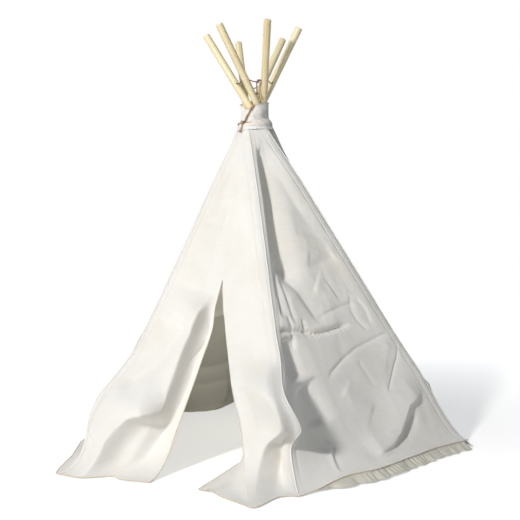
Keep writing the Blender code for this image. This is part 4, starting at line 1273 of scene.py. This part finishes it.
# A cord wound round the collar in the hollow above the band, where the cloth half buries it at the
# right, and knotted at the front left. One end hangs over the band, two go up on a slant and in between
# the poles.
def makeTie():
    radius, start = tieSet["radius"], tieSet["startAngle"]
    turn = np.linspace(0, 1, 160)
    angle = start + 2 * pi * turn
    height = bandHeightAt(angle) + neckSet["bandHeight"] * 0.93 + radius * (0.5 + 0.8 * turn)
    buried = around(angle, tieSet["buryAngle"], tieSet["buryWidth"]) ** 0.5
    wound = polar(tieReach(angle, height) - tieSet["bury"] * radius * buried, angle,
                  height - tieSet["burySink"] * buried)
    out, along = levelWay(start), levelWay(start + pi / 2)
    knotPlace = wound[0] + out * tieSet["knotOut"] + np.array([0, 0, 0.001])
    fall = np.linspace(0, 1, 18)
    angles = start - 0.10 * fall
    heights = knotPlace[2] - tieSet["tail"] * fall
    lie = np.maximum(tieReach(angles, heights), coverRadius(heights) * 0.97 + radius + 0.001)
    tail = polar(np.maximum(lie, hypot(*knotPlace[:2]) * (1 - ease(fall * 3))), angles, heights)
    shapes = [ropeAlong(wound, radius, tieSet["lay"]), ropeAlong(tail, radius, tieSet["lay"])]
    rise = np.linspace(0, 1, 22)
    for apart in (0.0, tieSet["endsApart"]):
        angles = start + (tieSet["endTurn"] + apart) * rise + 0.4 * apart
        top = collarShape(angles, 0 * angles)[..., 2]
        heights = knotPlace[2] + (top[-1] + 0.004 - knotPlace[2]) * rise
        reach = collarSkin(angles, heights) + radius + 0.0004 - tieSet["endDip"] * ease((rise - 0.86) / 0.14)
        shapes.append(ropeAlong(polar(reach, angles, heights), radius, tieSet["lay"]))
    shapes += [knotShape(knotPlace, along, tieSet["knot"], radius * 0.95),
               knotShape(tail[-1], along, tieSet["knot"] * 0.6, radius * 0.75)]
    piece = shapeMesh("neckTie", *joined(shapes))
    dress(piece, tieCord, "root", "tie_cord", "neck_tie")


makeCollar()
makeBand()
makeTie()
print("the neck is gathered and tied")


# cord through the poles

cordSet = dict(radius=0.0023, lay=0.0115, reachShare=0.35, sag=0.006, meetGap=0.00015, wraps=2, wrapSteps=30,
               wrapGap=0.0006, loopGap=0.0003, tail=0.045, knot=0.0046, pole=4, grooveSides=18, groove=0.13)


# Where the cord goes through a pole, and its way there: level, square to the line from the centre.
def cordHole(index):
    point = waists[index] + poleWays[index] * poleTop[index] * cordSet["reachShare"]
    return point, levelWay(atan2(point[1], point[0]) + pi / 2)


holes = [cordHole(index) for index in range(sideCount)]
insideReach = poleSet["radius"] / cos(tilt) + cordSet["radius"]


# The two ends of the span that comes to a pole from the one before it.
def spanBefore(index):
    (last, lastWay), (point, way) = holes[index - 1], holes[index]
    return last + lastWay * insideReach, point - way * insideReach


# Half a span before the pole, the hole, and half a span after it; each span sags like a parabola.
def cordSpan(index):
    halves = []
    for ends, shares in ((spanBefore(index), (0.5, 1)), (spanBefore((index + 1) % sideCount), (0, 0.5))):
        t = np.linspace(*shares, 9)[:, None]
        halves.append(ends[0] + (ends[1] - ends[0]) * t - np.array([0, 0, 4.0 * cordSet["sag"]]) * t * (1 - t))
    first, second = halves
    first[0] += unit(first[1] - first[0]) * cordSet["meetGap"]
    second[-1] -= unit(second[-1] - second[-2]) * cordSet["meetGap"]
    return np.concatenate(halves)


def makeCords():
    for index, name in enumerate(poleNames):
        rope = ropeAlong(cordSpan(index), cordSet["radius"], cordSet["lay"], phase=index)
        piece = shapeMesh("poleCord_" + name, *rope)
        dress(piece, darkCord, "leg_" + name, "dark_cord", "cord_" + name)
        followFold(piece, index, holes[index][1])


# One tube with the grooves of three strands in its skin, a turn for each length of lay.
def laidTube(path, radius, lay):
    sides = cordSet["grooveSides"]
    run, turn = runAlong(path)[:, None], turnsOf(sides)
    groove = np.abs(np.cos(1.5 * (turn - 2 * pi * run / lay))) ** 0.6
    size = radius * (1 + cordSet["groove"] * (groove - 0.75))
    points = path[:, None] + size[..., None] * (tubeAlong(path, 1.0, sides)[0] - path[:, None])
    uv = np.stack(np.broadcast_arrays(turn * radius, run), -1).reshape(-1, 2)
    return (np.concatenate([points.reshape(-1, 3), path[:1], path[-1:]]), cappedTube(path, radius, sides)[1],
            np.concatenate([uv, uv[:1], uv[-1:]]))


# The cord's end: turns round the loop beside a pole, then hangs and ends in a knot.
def makeCordTail():
    index, radius, up = cordSet["pole"], cordSet["radius"], np.array([0.0, 0.0, 1.0])
    before, enter = spanBefore(index)
    along = unit(before - enter)
    outward = unit(np.cross(along, up))
    turn = np.linspace(0, cordSet["wraps"], cordSet["wrapSteps"] * cordSet["wraps"] + 1)[:, None]
    centre = enter + along * (2 * radius + (2 * radius + cordSet["wrapGap"]) * turn)
    share = np.linalg.norm(centre - enter, axis=-1, keepdims=True) / np.linalg.norm(before - enter)
    centre[:, 2:] -= 4 * cordSet["sag"] * share * (1 - share)
    spin = outward * np.cos(2 * pi * turn) + up * np.sin(2 * pi * turn)
    wrap = centre + (2 * radius + cordSet["loopGap"]) * spin
    fall = np.linspace(0, 1, 50)[1:, None]
    hang = wrap[-1] + outward * radius * fall - up * cordSet["tail"] * fall
    path = evenPath(np.concatenate([wrap, hang]), cordSet["lay"] / 12)
    piece = shapeMesh("cordTail", *laidTube(path, radius, cordSet["lay"]))
    knot = shapeMesh("cordTailKnot", *knotShape(path[-1], along, cordSet["knot"], radius * 0.9))
    dress(piece, darkCord, "leg_" + poleNames[index], "dark_cord", "cord_tail")
    dress(knot, darkCord, "leg_" + poleNames[index], "dark_cord")


makeCords()
makeCordTail()
print("the cord is threaded")
